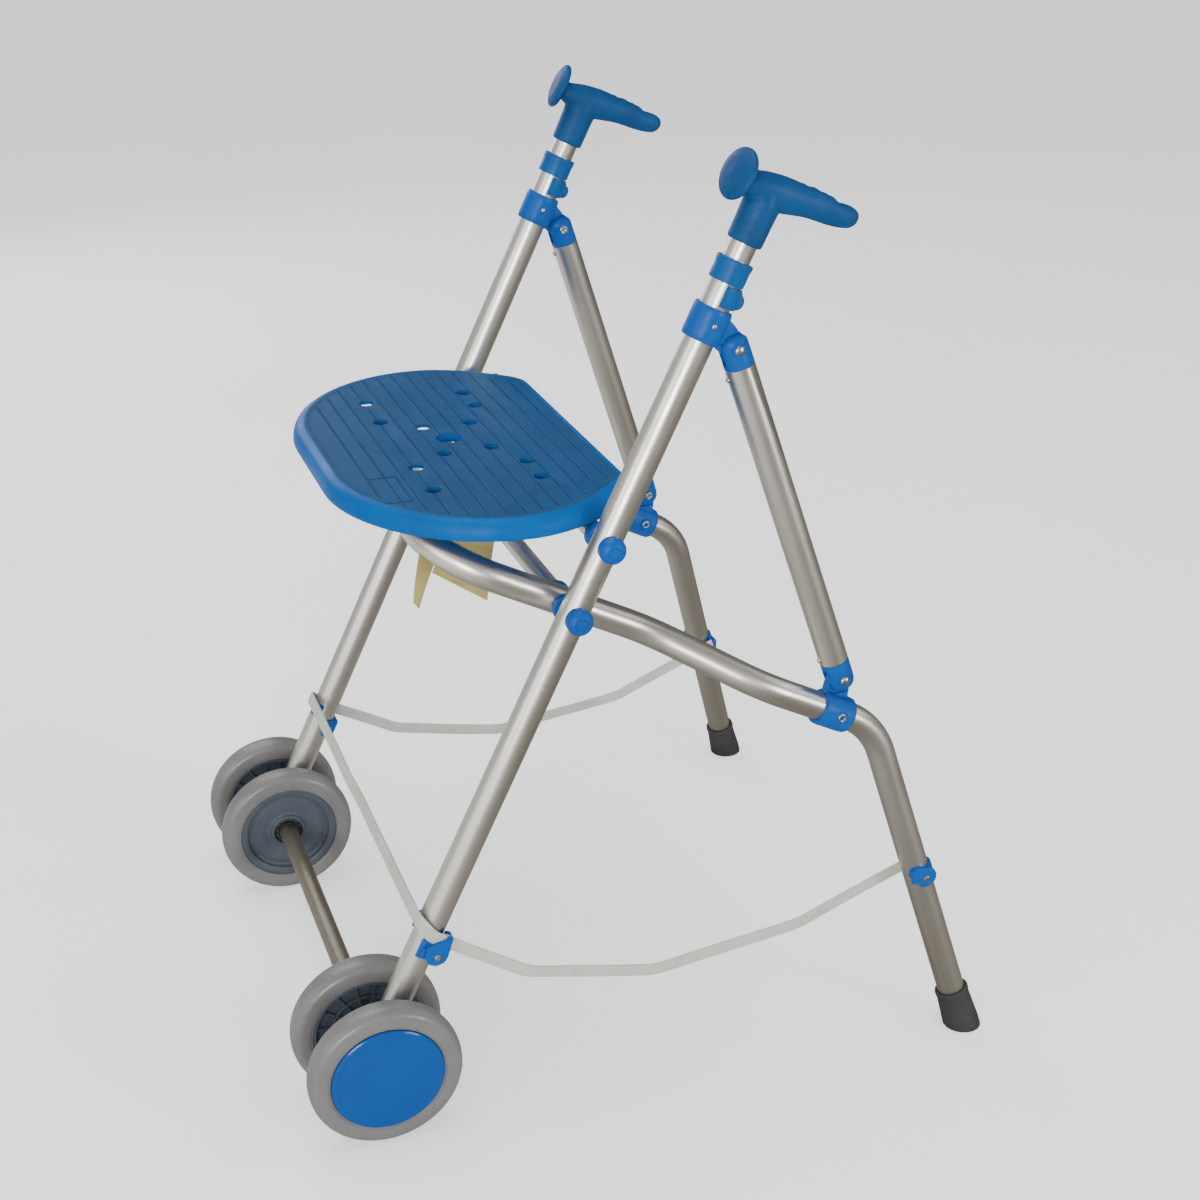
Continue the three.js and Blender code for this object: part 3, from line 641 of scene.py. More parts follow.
def pair(obj, name, body, material, node=None, angle=38):
    """Hands over a left-hand piece and its mirror image, and adds the side to each name."""
    twin = put(add_object("twin", obj.data.copy()), Matrix.Scale(-1, 4, (1, 0, 0)))
    for side, part in (("_left", obj), ("_right", twin)):
        rides_on = body if body in (FRONT, REAR) else body + side
        piece(part, name + side, rides_on, material, node and node + side, angle)


# ---- fasteners ----
def rivet_head(radius, height):
    """A domed head on +Z whose underside is at 0, with a stub of its shank."""
    dome = [(radius * math.cos(a), height * math.sin(a)) for a in np.linspace(0, math.pi / 2, 9)]
    return lathe([(0, -0.8), (radius * 0.55, -0.8), (radius * 0.55, 0)] + dome, 40)


def hollow_rivet(radius, height, hole):
    """A tubular rivet: a rolled rim round an open bore, which has a floor a little way down."""
    mid, roll = (radius + hole) / 2, (radius - hole) / 2
    rim = [(mid + roll * math.cos(a), height * 0.35 + height * 0.65 * math.sin(a))
           for a in np.linspace(0, math.pi, 11)]
    return lathe([(0, -0.8), (radius * 0.9, -0.8), (radius, 0)] + rim + [(hole, -0.3), (0, -0.3)], 40)


def screw_head(radius, height, slotted):
    """A pan head with a slot or a cross recess."""
    head = lathe(rounded([(0, -0.8), (radius * 0.6, -0.8), (radius * 0.6, 0), (radius, 0, 0.3),
                          (radius * 0.92, height * 0.75, 0.8), (radius * 0.5, height), (0, height)]), 40)
    reach, wide = (radius * 1.2, 0.35) if slotted else (radius * 0.62, 0.42)
    deep = (height * 0.45, height + 1)
    tools = [block((-reach, reach), (-wide, wide), deep)]
    if not slotted:
        tools.append(block((-wide, wide), (-reach, reach), deep))
    return cut(head, *tools)


# ---- front legs and what is fixed to them ----
def front_leg():
    leg = put(tube(straight((0, 0, -17), (0, 0, 816)), TUBE, TUBE_BORE), LEG)
    holes = [across(drum(radius, -22, 22, 0, 48), on_leg(u))
             for radius, u in ((9.3, PIVOT_AT), (9.3, SEAT_BAR_AT), (10.3, 0))]
    peg_hole = put(put(drum(PIN_HOLE, 5, 20, 0, 32), TO_REAR), on_leg(CLIP_AT))
    pair(cut(leg, gathered(holes + [peg_hole])), "front_leg_tube", FRONT, "tube", "front_leg")
    # A near-black disc set just inside the leg's lower open end: painted shade in the bore.
    pair(put(drum(12.9, -16.5, -10, 0.8), LEG), "front_leg_bore_shade_disc", FRONT, "dark")


def upper_collar():
    """A sleeve round the leg, with an ear behind it for the brace's upper pin."""
    pin = on_leg(0).inverted() @ LINK_TOP
    ear_x = LINK_TOP.x - LEG_X
    sleeve = lathe(rounded([(0, 747), (17.2, 747, 0.8), (17.9, 751, 3), (17.9, 774, 3), (17.3, 778, 0.9),
                            (0, 778)]), 96)
    ear = plate(capsule((9, 761, 13.5), (pin.y, pin.z, EAR_ROUND), 24), ear_x - 4.5, ear_x + 4.5, 1.3, 4)
    gusset = plate([(10, 749), (22, 753), (27, 768), (10, 776)], ear_x - 6.2, ear_x + 6.2, 1.2)
    mouths = [lathe([(0, z), (15.2, z), (SLEEVE_BORE, z + s), (0, z + s)], 96)
              for z, s in ((746.9, 1.1), (778.1, -1.1))]
    pin_hole = across(drum(PIN_HOLE, -20, 20, 0, 32), shift((0, pin.y, pin.z)))
    body = cut(join(sleeve, gusset, ear), drum(SLEEVE_BORE, 735, 790, 0, 96), pin_hole, *mouths)
    pair(put(body, LEG), "leg_collar", FRONT, "blue", "upper_collar")
    for place, side, turn in (("outer", 1, ALONG_X), ("inner", -1, ALONG_X @ UPSIDE_DOWN)):
        head = put(put(rivet_head(2.4, 1.3), turn), on_leg(763.5, -0.5, side * 17.75))
        pair(head, "collar_rivet_" + place, FRONT, "steel")


def guide_bushing():
    """The leg's open end, in which the handle tube slides."""
    profile = rounded([(13.1, 822.0), (13.1, 816.4), (14.3, 816.4), (14.3, 801, 0.4), (16.2, 801, 0.7),
                       (16.4, 806, 6), (16.3, 815, 6), (16.9, 819, 1.5), (16.9, 822, 1.1)], True)
    pair(put(lathe(profile, 96, True), LEG), "guide_ring", FRONT, "clip", "guide_bushing")


def domed_cap():
    """A knob on a cross tube's end: short skirt, full dome and a small flat with a moulding ring."""
    return lathe(rounded([(0, 0.3), (12.2, 0.3, 0.5), (12.7, 3.2, 2), (11.6, 7, 5.5), (8.2, 9.4, 2.5),
                          (6.4, 9.9, 0.5), (6.1, 9.3, 0.3), (5.3, 9.3, 0.3), (5, 9.9, 0.4),
                          (0, 10.1)]), 72)


def cross_tube_fittings():
    """Outside the leg a knob on a washer, inside it a spacer or a ring."""
    for word, u in (("pivot", PIVOT_AT), ("seat_bar", SEAT_BAR_AT)):
        cap = across(domed_cap(), on_leg(u, 0, 16.0))
        spigot = across(drum(7.2, 8, 17.5, 0.4, 48), on_leg(u))
        pair(gathered([cap, spigot]), word + "_knob", FRONT, "blue", word + "_cap")
        washer = across(drum(12.3, 11.2, 16.4, 1.2), on_leg(u))
        hole = across(drum(9.1, 5, 20, 0, 48), on_leg(u))
        washer = cut(washer, put(drum(14.15, u - 30, u + 30, 0, 96), LEG), hole)
        pair(washer, word + "_knob_seat", FRONT, "blue")
    for name, node, u, radius, low, edge in (
        ("pivot_washer", "pivot_spacer", PIVOT_AT, 14.5, -17.4, 0.9),
        ("seat_bar_collar", "seat_bar_ring", SEAT_BAR_AT, 12.5, -24.3, 1.6),
    ):
        body = across(ring(radius, 9.4, low, -11.5, edge, 72), on_leg(u))
        pair(cut(body, put(drum(SLEEVE_BORE, u - 30, u + 30, 0, 96), LEG)), name, FRONT, "blue", node)
    inner = across(ring(13.2, 9.4, -50.6, -46.6, 1.2), on_leg(PIVOT_AT))
    pair(inner, "pivot_inner_washer", FRONT, "blue")


def cross_tubes():
    for name, node, half, centre, outer, bore, material in (
        ("pivot_cross_tube", "lower_cross_tube", 248, PIVOT, 9, 7.5, "tube"),
        ("seat_hinge_tube", "upper_cross_tube", 248, SEAT_BAR, 9, 7.5, "tube"),
        ("axle_tube", "wheel_axle", 282.4, Vector((0, AXLE_Y, AXLE_Z)), 10, 8.5, "axle"),
    ):
        points = straight((-half, centre.y, centre.z), (half, centre.y, centre.z))
        piece(tube(points, outer, bore), name, FRONT, material, node)


def front_strap_bracket():
    """A clip on the leg's outer side: tongue behind the front strap, pocket, and a lobe for the screw."""
    clasp = cut(ring(17.1, 13.5, 111.5, 131.5, 1.0, 96), block((-30, 14.2), (-30, 5), (100, 145)))
    away = [((-30, -13), (-30, 30), (125, 160)), ((-30, 30), (0, 30), (125, 160)),
            ((-5, 30), (-30, 30), (125, 139)), ((6, 30), (-30, 30), (141, 160))]
    tongue = cut(ring(16.3, 13.5, 132, 147, 0.8, 96), *[block(*sides) for sides in away])
    wall = join(block((8, 20.8), (11.5, 17.8), (116, 142), 1.2),
                block((-7, 20.8), (10.8, 20.6), (113, 131), 2.6, 4))
    cheek = plate(rounded([(-4, 126, 1.5), (-1.5, 114.5, 5), (4.5, 109.3, 6), (12.5, 109.3, 6),
                           (19, 115, 5), (20, 122, 5), (16.5, 141, 2), (12, 139.5, 1)], True, 6),
                  18.4, 22.0, 0.9)
    lip = plate(rounded([(-4.6, 126.6, 0.8), (-3.4, 122.6, 0.8), (17.4, 137, 0.8), (16.4, 141.6, 0.8)],
                        True, 4), 17.6, 22.9, 0.6)
    links = [block((12.5, 19), (-6, 12), (113, 124), 1.0), block((12, 18), (-3, 3), (126, 140), 0.6)]
    body = join(clasp, wall, cheek, lip, links[0], tongue, links[1])
    body = put(cut(body, drum(SLEEVE_BORE, 90, 170, 0, 96)), LEG)
    pair(body, "strap_clip_front", FRONT, "blue", "front_strap_bracket")
    screw = across(screw_head(3.6, 1.7, False), on_leg(118.8, 9.7, 21.9))
    pair(screw, "strap_clip_screw", FRONT, "steel")


def front_strap():
    """Runs across in front of both legs and round them into the two outboard clips."""
    corners = [(249.4, 10), (249.2, -7, 9), (243, -18, 13), (231, -20, 30), (212, -19.6, 60), (0, -19.6)]
    half = [Vector((x, v)) for x, v in rounded(corners, steps=7)]
    dense = []
    for a, b in zip(half, half[1:]):
        count = max(1, round((b - a).length / 9))
        dense += [a.lerp(b, k / count) for k in range(count)]
    line = dense + [Vector((0, -19.6))] + [Vector((-p.x, p.y)) for p in reversed(dense)]
    points, sides = [], []
    for i, p in enumerate(line):
        ahead = line[min(i + 1, len(line) - 1)] - line[max(i - 1, 0)]
        wave = 0.5 * math.sin(p.x * 0.021) + 0.3 * math.sin(p.x * 0.05 + 1)
        free = max(0.0, 1 - abs(p.x) / 215)
        height = 147 - 11 * min(1.0, max(0.0, (p.y + 20) / 20)) + 0.8 * wave * free
        points.append(Vector((p.x, p.y + wave * free, height)))
        sides.append(Vector((-ahead.y, ahead.x, 0.04 * wave)))
    strap = put(band(points, sides, *STRAP), on_leg(0, 0, -LEG_X))
    piece(strap, "front_webbing", FRONT, "strap", "front_strap")


# ---- handles ----
GRIP_SECTIONS = (  # rearward distance, middle, height up, height down, half width
    (-33, 887.5, 7, 8, 8), (-26, 887, 8.4, 9.8, 11), (-18, 886.6, 10.6, 12.6, 13.4),
    (-8, 887, 13.2, 16, 15.2), (4, 887, 15.2, 18, 15.8), (14, 888, 15.2, 17.2, 15.2),
    (24, 889.2, 14.1, 15.9, 14.4), (33, 889.8, 13.3, 14.4, 13.8), (38, 890.2, 13.6, 13.6, 13.4),
    (44, 890.6, 13.5, 13, 13), (50, 891, 12.5, 12.8, 12.6), (54, 891.8, 11.8, 13.2, 12.2),
    (59, 892.4, 11.4, 13.5, 11.8), (63.5, 892.8, 9.4, 13.6, 11.4), (68, 893, 8.4, 13.2, 11.2),
    (74, 893, 9.4, 12.3, 11), (80, 893, 9.9, 10.9, 10.8), (85.5, 893.2, 9, 9.2, 9.7),
    (89, 893.6, 6.9, 6.8, 7.6), (91.2, 894, 3.5, 3.5, 4.2),
)
GRIP_SQUARENESS = 2.3
GRIP_VOXEL = 0.85


def grip_palm():
    """A skin over the grip's sections, each a rounded oblong in the x, z plane."""
    rows, count = [], 40
    for v, middle, up, down, wide in GRIP_SECTIONS:
        row = []
        for k in range(count):
            a = 2 * math.pi * k / count
            c, s = math.cos(a), math.sin(a)
            height = up if s > 0 else down
            swell = (abs(c) ** GRIP_SQUARENESS + abs(s) ** GRIP_SQUARENESS) ** (-1 / GRIP_SQUARENESS)
            row.append(Vector((wide * c * swell, v, middle + height * s * swell)))
        rows.append(row)
    return skin(rows)


def grip():
    """Palm, socket and thumb disc, melted into one moulding."""
    socket = lathe(rounded([(0, 837.5), (15.6, 837.5, 1.6), (16.3, 841, 6), (16.5, 858, 10), (17.2, 876, 8),
                            (13.5, 893, 5), (0, 897)]), 72)
    disc = lathe(rounded([(0, -7), (8, -6), (13, -3.6, 5), (21, -2.4, 4), (23.8, 0.3, 2.6),
                          (22.7, 3.8, 2.6), (15, 7, 12), (0, 8.4)]), 96)
    yaw = shift((0, -30.8, 888.6)) @ Matrix.Rotation(math.radians(9), 4, "Z")
    put(disc, yaw @ Matrix.Rotation(math.pi / 2 + math.radians(-1.5), 4, "X"))
    body = gathered([grip_palm(), socket, disc])
    remesh = body.modifiers.new("remesh", "REMESH")
    remesh.mode = "VOXEL"
    remesh.voxel_size = GRIP_VOXEL
    smooth = body.modifiers.new("smooth", "SMOOTH")
    smooth.factor = 0.5
    smooth.iterations = 9
    emboss(apply_modifiers(body))
    bore = drum(12.8, 820, 866.3, 0.3, 96)
    mouth = lathe([(0, 836), (14.2, 836), (12.8, 839), (0, 839)], 96)
    pair(put(cut(body, bore, mouth), LEG), "hand_grip", "handle", "grip", "grip", 50)


def emboss(body):
    """Raised finger ridges over the palm and a field of moulded pimples on the socket's flanks."""
    count = len(body.data.vertices)
    co = np.zeros(count * 3)
    no = np.zeros(count * 3)
    body.data.vertices.foreach_get("co", co)
    body.data.vertices.foreach_get("normal", no)
    co, no = co.reshape(-1, 3), no.reshape(-1, 3)
    _, v, u = co.T
    top = np.clip(no[:, 2], 0, 1)
    lift = np.zeros(count)
    for centre in (30.0, 41.0, 52.0, 62.0):
        lift += 0.55 * np.exp(-(((v - centre) / 2.2) ** 2)) * top
    flank = (np.abs(no[:, 0]) > 0.55) & (u > 846) & (u < 882) & (np.abs(v) < 12)
    cell = 5.2
    du = (u / cell + 0.5) % 1 - 0.5
    dv = (v / cell + 0.5 * (np.floor(u / cell + 0.5) % 2) + 0.5) % 1 - 0.5
    lift += 0.32 * np.exp(-(du**2 + dv**2) / 0.03) * flank
    body.data.vertices.foreach_set("co", (co + no * lift[:, None]).ravel())


def handle():
    sliding = put(tube(straight((0, 0, 640), (0, 0, 866)), TELESCOPE, TELESCOPE_BORE), LEG)
    pair(sliding, "telescope_tube", "handle", "tube_inner", "handle_tube")
    grip()


def lock_clip():
    """A half-round spring with serrated front edges, a thumb button behind and a locating peg."""
    teeth = 7
    low, high = 770, 810
    edge = [(-3.1 if k % 2 else -4.5, 781.4 + 18.2 * k / (teeth * 2)) for k in range(teeth * 2 + 1)]
    window = [(-40, low), (-40, high), (edge[-1][0], high)] + edge[::-1] + [(edge[0][0], low)]
    spring = cut(ring(17, SLEEVE_BORE, 781, 800, 0.7, 96), plate(window, -30, 30),
                 block((-14.2, 14.2), (-7, 0.5), (775, 805)))
    dome = [(7.2 * math.cos(a) ** 0.8, 18.6 + 5.4 * math.sin(a)) for a in np.linspace(0, math.pi / 2, 12)]
    button = put(lathe([(0, 15.6), (7.6, 15.6), (7.4, 17.4)] + dome, 56), TO_REAR)
    wings = rounded([(3, 783, 1), (16.5, 781.6, 1), (16.5, 798.4, 1), (3, 797, 1)], True, 3)
    wings = cut(plate(wings, -8.6, 8.6, 0.8, 2), drum(16.2, low, high, 0, 96))
    peg = put(drum(2.8, 13.4, 18, 0.3, 32), TO_REAR)
    place = shift((0, 0, CLIP_AT))
    body = put(join(spring, put(button, place), put(peg, place), wings), LEG)
    pair(body, "release_clip", "clip", "clip", "lock_clip")


# ---- wheels, local +Z facing away from the leg ----
HUB_BORE, HUB_RIM = 10.6, 55.2


def tyre_shape():
    """Fine circumferential lines are cut round the crown."""
    crown = []
    for a in np.linspace(-82, 82, 41):
        t = math.radians(a)
        z = 14.5 * math.copysign(abs(math.sin(t)) ** 0.9, t)
        radius = 61.5 + 13.5 * math.cos(t) ** 0.55
        line = 0.35 if round(a / 4.1) % 2 and abs(a) < 50 else 0.0
        crown.append((radius - line, z))
    bead = [(60.5, 14.4, 1.2), (57.8, 13.8, 0.5), (57.2, 12.9, 0.4), (55.5, 12.9, 0.3)]
    inner = rounded(bead + [(r, -z, edge) for r, z, edge in reversed(bead)], steps=3)
    return lathe(crown + inner, 128, True)


def spokes(count, radii, thick, heights):
    """Radial ribs set evenly round +Z."""
    return gathered([
        put(block(radii, (-thick / 2, thick / 2), heights, 0.35, 2),
            Matrix.Rotation(2 * math.pi * (k + 0.5) / count, 4, "Z"))
        for k in range(count)
    ])


def hub_shape(capped):
    """Dished web away from the leg, radial ribs and rings on the leg side, long boss."""
    if capped:
        outer = [(HUB_BORE, 8), (48.5, 8, 1), (50.2, 11.6, 0.8), (HUB_RIM, 11.6, 0.4)]
    else:
        outer = [(HUB_BORE, 3.6, 0.3), (15.4, 3.6, 0.5), (16.2, 9, 0.6), (17.6, 9.6, 0.7), (19.6, 9, 1),
                 (20.6, 6.4, 1.5), (24, 5.6, 4), (31, 7, 6), (38, 7, 5), (43.6, 5.2, 3), (46.2, 6.2, 1.6),
                 (47.2, 10.8, 0.9), (50.2, 12, 1), (HUB_RIM, 12, 0.6)]
    inner = [(HUB_RIM, -12.2, 0.6), (51.6, -12.2, 0.8), (50.6, -4.6, 1.2), (18.6, -4.6, 1.5),
             (15.4, -21, 1.2), (13.8, -22.4, 0.6), (HUB_BORE, -22.4, 0.4)]
    body = lathe(rounded(outer + inner, True, 4), 96, True)
    dish = [(0, -12), (22, -12), (25, -8.6), (31, -7.8), (44, -7.8), (48, -8.8), (51.5, -12)]
    added = [cut(spokes(16, (16.5, 51.5), 2.0, (-10.5, -3.5)), lathe(dish, 96)),
             ring(36.4, 34.8, -8.4, -3.5, 0.4, 96)]
    if not capped:
        added.append(spokes(12, (11.4, 16.2), 1.5, (2.5, 6.4)))
    return join(body, *added)


def hub_cap_shape():
    """A glossy disc: soft lip, shallow step and a faintly dished field."""
    return lathe(rounded([(0, 12.3), (54.4, 12.3), (55.0, 13.0, 0.3), (55.0, 14.2, 0.9), (53.2, 15.5, 1.2),
                          (49.8, 15.7, 1.0), (48.8, 15.2, 0.8), (46, 15.1, 3), (30, 15.35, 30), (0, 15.5)],
                         steps=6), 128)


def wheels():
    stands = {"outer": shift((LEG_X + WHEEL_OFFSET, AXLE_Y, AXLE_Z)) @ ALONG_X,
              "inner": shift((LEG_X - WHEEL_OFFSET, AXLE_Y, AXLE_Z)) @ TO_INBOARD}
    for place, stand in stands.items():
        body = "wheel_" + place
        pair(put(tyre_shape(), stand), "tyre_ring_" + place, body, "tyre", "tyre_" + place, 30)
        pair(put(hub_shape(place == "outer"), stand), "wheel_hub_" + place, body, "hub", "hub_" + place)
    pair(put(hub_cap_shape(), stands["outer"]), "wheel_disc", "wheel_outer", "gloss", "hub_cap")
    # A thin dark ring at the inner hub: painted shade for the dark recess where the axle enters the wheel,
    # not a clip.
    axle_shade_ring = put(ring(11.8, 10.05, 9.6, 10.6, 0.3), stands["inner"])
    pair(axle_shade_ring, "axle_painted_shade_ring", FRONT, "dark")


# ---- rear frame ----
def seat_loop():
    """One tube: rear leg, knee, arm up to the seat, round under its front and back down."""
    half = [(*shin(9.5), 0), (*KNEE, 75), (*ARM_END, 110), (200, 14, arm_z(14), 110),
            (200, -188, arm_z(-188), 63)]
    other = [(-x, y, z, r) for x, y, z, r in reversed(half)]
    loop = tube(bent(half + other, 2.5, 6.0), TUBE, TUBE_BORE)
    holes = [across(drum(CROSS_HOLE, x - 20, x + 20, 0, 48), shift((0, PIVOT.y, PIVOT.z)))
             for x in (200, -200)]
    piece(cut(loop, gathered(holes)), "seat_loop_tube", REAR, "tube", "seat_frame_tube")


def rubber_tips():
    """A ferrule cut off level with the floor, with three grip rings above its foot."""
    stand = aim(FOOT, SHIN_UP)
    body = lathe(rounded([(0, -12), (18.6, -12, 1.5), (18.9, 4, 6), (18.1, 16, 20), (16.7, 38.5, 3),
                          (16.8, 40, 0.8), (17.4, 41, 0.9), (17.4, 45, 1.2), (16.2, 46, 0.8), (0, 46)]), 96)
    body = cut(put(body, stand), block((200, 400), (200, 450), (-60, 0)))
    hollows = [drum(SLEEVE_BORE, 9, 60, 0, 96),
               lathe([(0, 47), (15.3, 47), (SLEEVE_BORE, 44.5), (0, 44.5)], 96)]
    hollows += [ring(22, 18.55 - 0.035 * h, h, h + 0.9, 0.25, 96) for h in (7.5, 10.5, 13.5)]
    body = cut(soften(body, 0.5, 2, 60), *[put(hollow, stand) for hollow in hollows])
    pair(body, "rubber_ferrule", REAR, "tip", "rubber_tip")


def saddles():
    """A sleeve on the arm, an ear on it for the brace's lower pin, and a boss with a rivet each side."""
    run = KNEE - ARM_END
    centre = ARM_END + run * ((SADDLE_Y - ARM_END.y) / run.y)
    stand = aim(centre, run.normalized())
    sleeve = put(lathe(rounded([(0, -17), (17.5, -17, 0.9), (17.9, -12, 5), (17.9, 12, 5), (17.5, 17, 0.9),
                                (0, 17)]), 96), stand)
    x0, x1 = LINK_BOTTOM.x - 4.5, LINK_BOTTOM.x + 4.5
    ear = plate(capsule((SADDLE_Y + 1, centre.z + 6, 14), (LINK_BOTTOM.y, LINK_BOTTOM.z, EAR_ROUND), 24),
                x0, x1, 1.3, 4)
    shoulder = [(-15, 6, 2), (16, 4, 2), (14, 20, 3), (-5, 20, 3)]
    shoulder = plate(rounded([(SADDLE_Y + y, centre.z + z, r) for y, z, r in shoulder], True, 4),
                     x0 - 2.4, x1 + 2.4, 1.4)
    boss_at = shift((0, 186, 371.5))
    bosses = [across(drum(6.4, low, high, 0.8), boss_at) for low, high in ((262, 276.4), (238.7, 252))]
    bore = put(drum(14.35, -40, 40, 0, 96), stand)
    pin_hole = across(drum(PIN_HOLE, 230, 285, 0, 32), shift((0, LINK_BOTTOM.y, LINK_BOTTOM.z)))
    body = cut(join(sleeve, ear, shoulder, *bosses), bore, pin_hole)
    pair(body, "arm_saddle", REAR, "blue", "saddle")
    for name, x, turn in (("saddle_rivet", 276.3, ALONG_X), ("saddle_rivet_inner", 238.8, TO_INBOARD)):
        pair(put(put(hollow_rivet(4.5, 1.5, 2.2), turn), shift((x, 0, 0)) @ boss_at), name, REAR, "steel")


def rear_strap_brackets():
    """Half a sleeve round the rear leg, with a screwed boss outboard and the strap's tab behind."""
    middle = shin(184)
    place, stand = shift(middle), aim(middle, SHIN_UP)
    sleeve = cut(put(ring(16.9, 13.5, -7, 7, 1.1, 96), stand),
                 put(block((-40, 12), (-40, 3), (-40, 40)), place),
                 put(block((-40, 0), (0, 8), (-40, 40)), place))
    boss = put(plate(capsule((-5, 4, 8.6), (2.5, 0.5, 11.6), 24), 8, 18.2, 1.4), place)
    tab = put(block((-17.0, 3), (11.5, 17.6), (-7.5, 4.5), 1.6), place)
    bore = put(drum(SLEEVE_BORE, -40, 40, 0, 96), stand)
    pair(cut(join(sleeve, boss, tab), bore), "strap_clip_rear", REAR, "blue", "rear_strap_bracket")
    turned = ALONG_X @ Matrix.Rotation(0.7, 4, "Z")
    screw = put(put(screw_head(3.6, 1.6, True), turned), shift(middle + Vector((18.1, 2.7, -0.6))))
    pair(screw, "strap_clip_rear_screw", REAR, "steel")


# ---- braces ----
LINK_RUN = LINK_BOTTOM - LINK_TOP
LINK_LENGTH = LINK_RUN.length
LINK_UP = aim(LINK_TOP, -LINK_RUN)
FITTING_FACE = 18.0
ROD_OFFSET = 3.75
SHANK_END = 14.15


def fork_shape(pin, towards, spigot, offset, round_radius):
    """A round-ended fork round an ear: towards is 1 at the top pin and -1 at the bottom one."""
    def along(h):
        return towards * h if towards > 0 else -LINK_LENGTH - h

    dome = [(14.0 * (1 - t**2.8) ** (1 / 2.8), 14.0 * t) for t in np.linspace(0.12, 1, 14)]
    profile = rounded([(0, -18), (14.0, -18, 0.6), (14.05, -10, 4)]) + dome
    head = put(lathe([(r, along(h)) for r, h in profile], 80), LINK_UP)
    flat = Vector((0, LINK_RUN.y, LINK_RUN.z)).normalized() * towards
    side = Vector((0, -flat.z, flat.y))
    foot = pin + flat * 19
    cheek = plate(capsule((foot.y, foot.z, 14.6), (pin.y, pin.z, round_radius), 28), pin.x - 16, pin.x + 16)
    low, high = sorted((along(-18) + towards * 1.0, along(-32)))
    plug = put(put(drum(spigot, low, high, 0.5, 48), shift((offset, 0, 0))), LINK_UP)
    boss = across(drum(6.6, -14.1, 14.1, 0.5, 56), shift(pin))
    head = join(common(head, cheek), plug, boss)
    corners = [pin + side * a + flat * b for a, b in ((-25, -30), (25, -30), (25, 13.1), (-25, 13.1))]
    slot = plate([(p.y, p.z) for p in corners], pin.x - 5.3, pin.x + 5.3)
    return cut(head, slot, across(drum(3.3, -25, 25, 0, 32), shift(pin)))


def pin_shape(centre):
    """A shank with a domed head outboard and a rolled, open end inboard."""
    shank = drum(3.0, -14.2, 14.2, 0, 40)
    head = put(rivet_head(4.6, 2.1), shift((0, 0, SHANK_END)))
    tail = put(hollow_rivet(4.4, 1.7, 2.0), shift((0, 0, -SHANK_END)) @ UPSIDE_DOWN)
    return across(join(shank, head, tail), shift(centre))


def links():
    """Each brace: a tube hung on the collar and a rod hung on the saddle that slides in it."""
    bottom = FITTING_FACE - LINK_LENGTH + 0.3
    sleeve = put(tube(straight((0, 0, bottom), (0, 0, -FITTING_FACE - 0.3)), TUBE, 13), LINK_UP)
    pair(sleeve, "strut_tube", "link", "tube", "link_tube")
    rod = put(tube(straight((ROD_OFFSET, 0, bottom), (ROD_OFFSET, 0, -70)), 8.4, 7), LINK_UP)
    pair(rod, "strut_inner_rod", "strut", "tube_inner", "link_rod")
    for word, body, pin, fork in (
        ("upper", "link", LINK_TOP, fork_shape(LINK_TOP, 1, 12.6, 0, 13.8)),
        ("lower", "strut", LINK_BOTTOM, fork_shape(LINK_BOTTOM, -1, 6.6, ROD_OFFSET, 12.6)),
    ):
        pair(fork, "strut_" + word + "_fork", body, "blue", "link_" + word + "_fork")
        pair(pin_shape(pin), "strut_" + word + "_pin", body, "steel", word + "_pin")
    down = LINK_RUN.normalized()
    forward = Vector((0, -1, 0)) + down * down.y
    for word, distance in (("upper", 26.5), ("lower", LINK_LENGTH - 24.0)):
        place = LINK_TOP + down * distance + forward.normalized() * 13.9
        head = put(rivet_head(2.9, 2.4), aim(place, forward))
        pair(head, "strut_" + word + "_rivet", "link", "steel")


# ---- seat ----
SEAT_PROFILE = (  # inset, depth below the top: over the rim, down the wall, up inside
    (19, 0.4), (17.5, 0.38), (16, 0.2), (14, 0.05), (12, 0), (10.2, 0.2), (8, 0.8), (5.8, 1.9),
    (3.9, 3.6), (2.4, 6), (1.3, 8.6), (0.5, 11.4), (0.1, 14.2), (0, 16.2), (0.3, 17.9), (1.1, 18.8),
    (2.2, 19), (3.2, 18.7), (3.9, 17.6), (4.2, 13), (5.6, 8.6), (8.5, 5.6), (12.5, 4.2), (18, 3.65),
    (25, 3.6),
)
SEAT_HOLES = (  # x, y, radius; all but the middle one are there on both sides
    (0, -117, 12.5), (40, -133, 7), (38, -85, 7), (68, -169, 7), (130, -169, 7), (86, -65, 7),
    (129.5, -65, 7),
)
PLAIN_HOLES = ((-130, -169), (-40, -133), (68, -169))  # these have no collar below, so light shows through
HOLE_EASE = 1.3
GROOVES, GROOVE_START, GROOVE_PITCH = 14, -9.0, 16.2
DECK = SEAT_TOP - 0.4
DECK_BOTTOM = SEAT_TOP - 3.6


def bezier(points, steps):
    degree = len(points) - 1
    out = []
    for k in range(steps):
        t = k / steps
        shares = [math.comb(degree, i) * t**i * (1 - t) ** (degree - i) for i in range(degree + 1)]
        out.append(sum((Vector(p) * share for p, share in zip(points, shares)), Vector((0, 0))))
    return out


def seat_outline(inset, steps=20):
    """The seat seen from above, its front a wide bow and its rear a shorter straight."""
    w, front, rear = 230 - inset, -257 + inset, 15 - inset
    side = bezier([(62, front), (152 - inset, front), (w, -185), (w, -104)], steps)
    side += bezier([(w, -104), (w, -74), (214 - inset, -44), (191 - inset, -11 - inset)], steps)
    side += bezier([(191 - inset, -11 - inset), (170 - inset, rear), (148, rear)], 10)
    back = [Vector((148 - 296 * k / 30, rear)) for k in range(31)]
    other = [Vector((-p.x, p.y)) for p in reversed(side)]
    front_edge = [Vector((-62 + 124 * k / 12, front)) for k in range(1, 12)]
    return side + back + other[1:] + front_edge


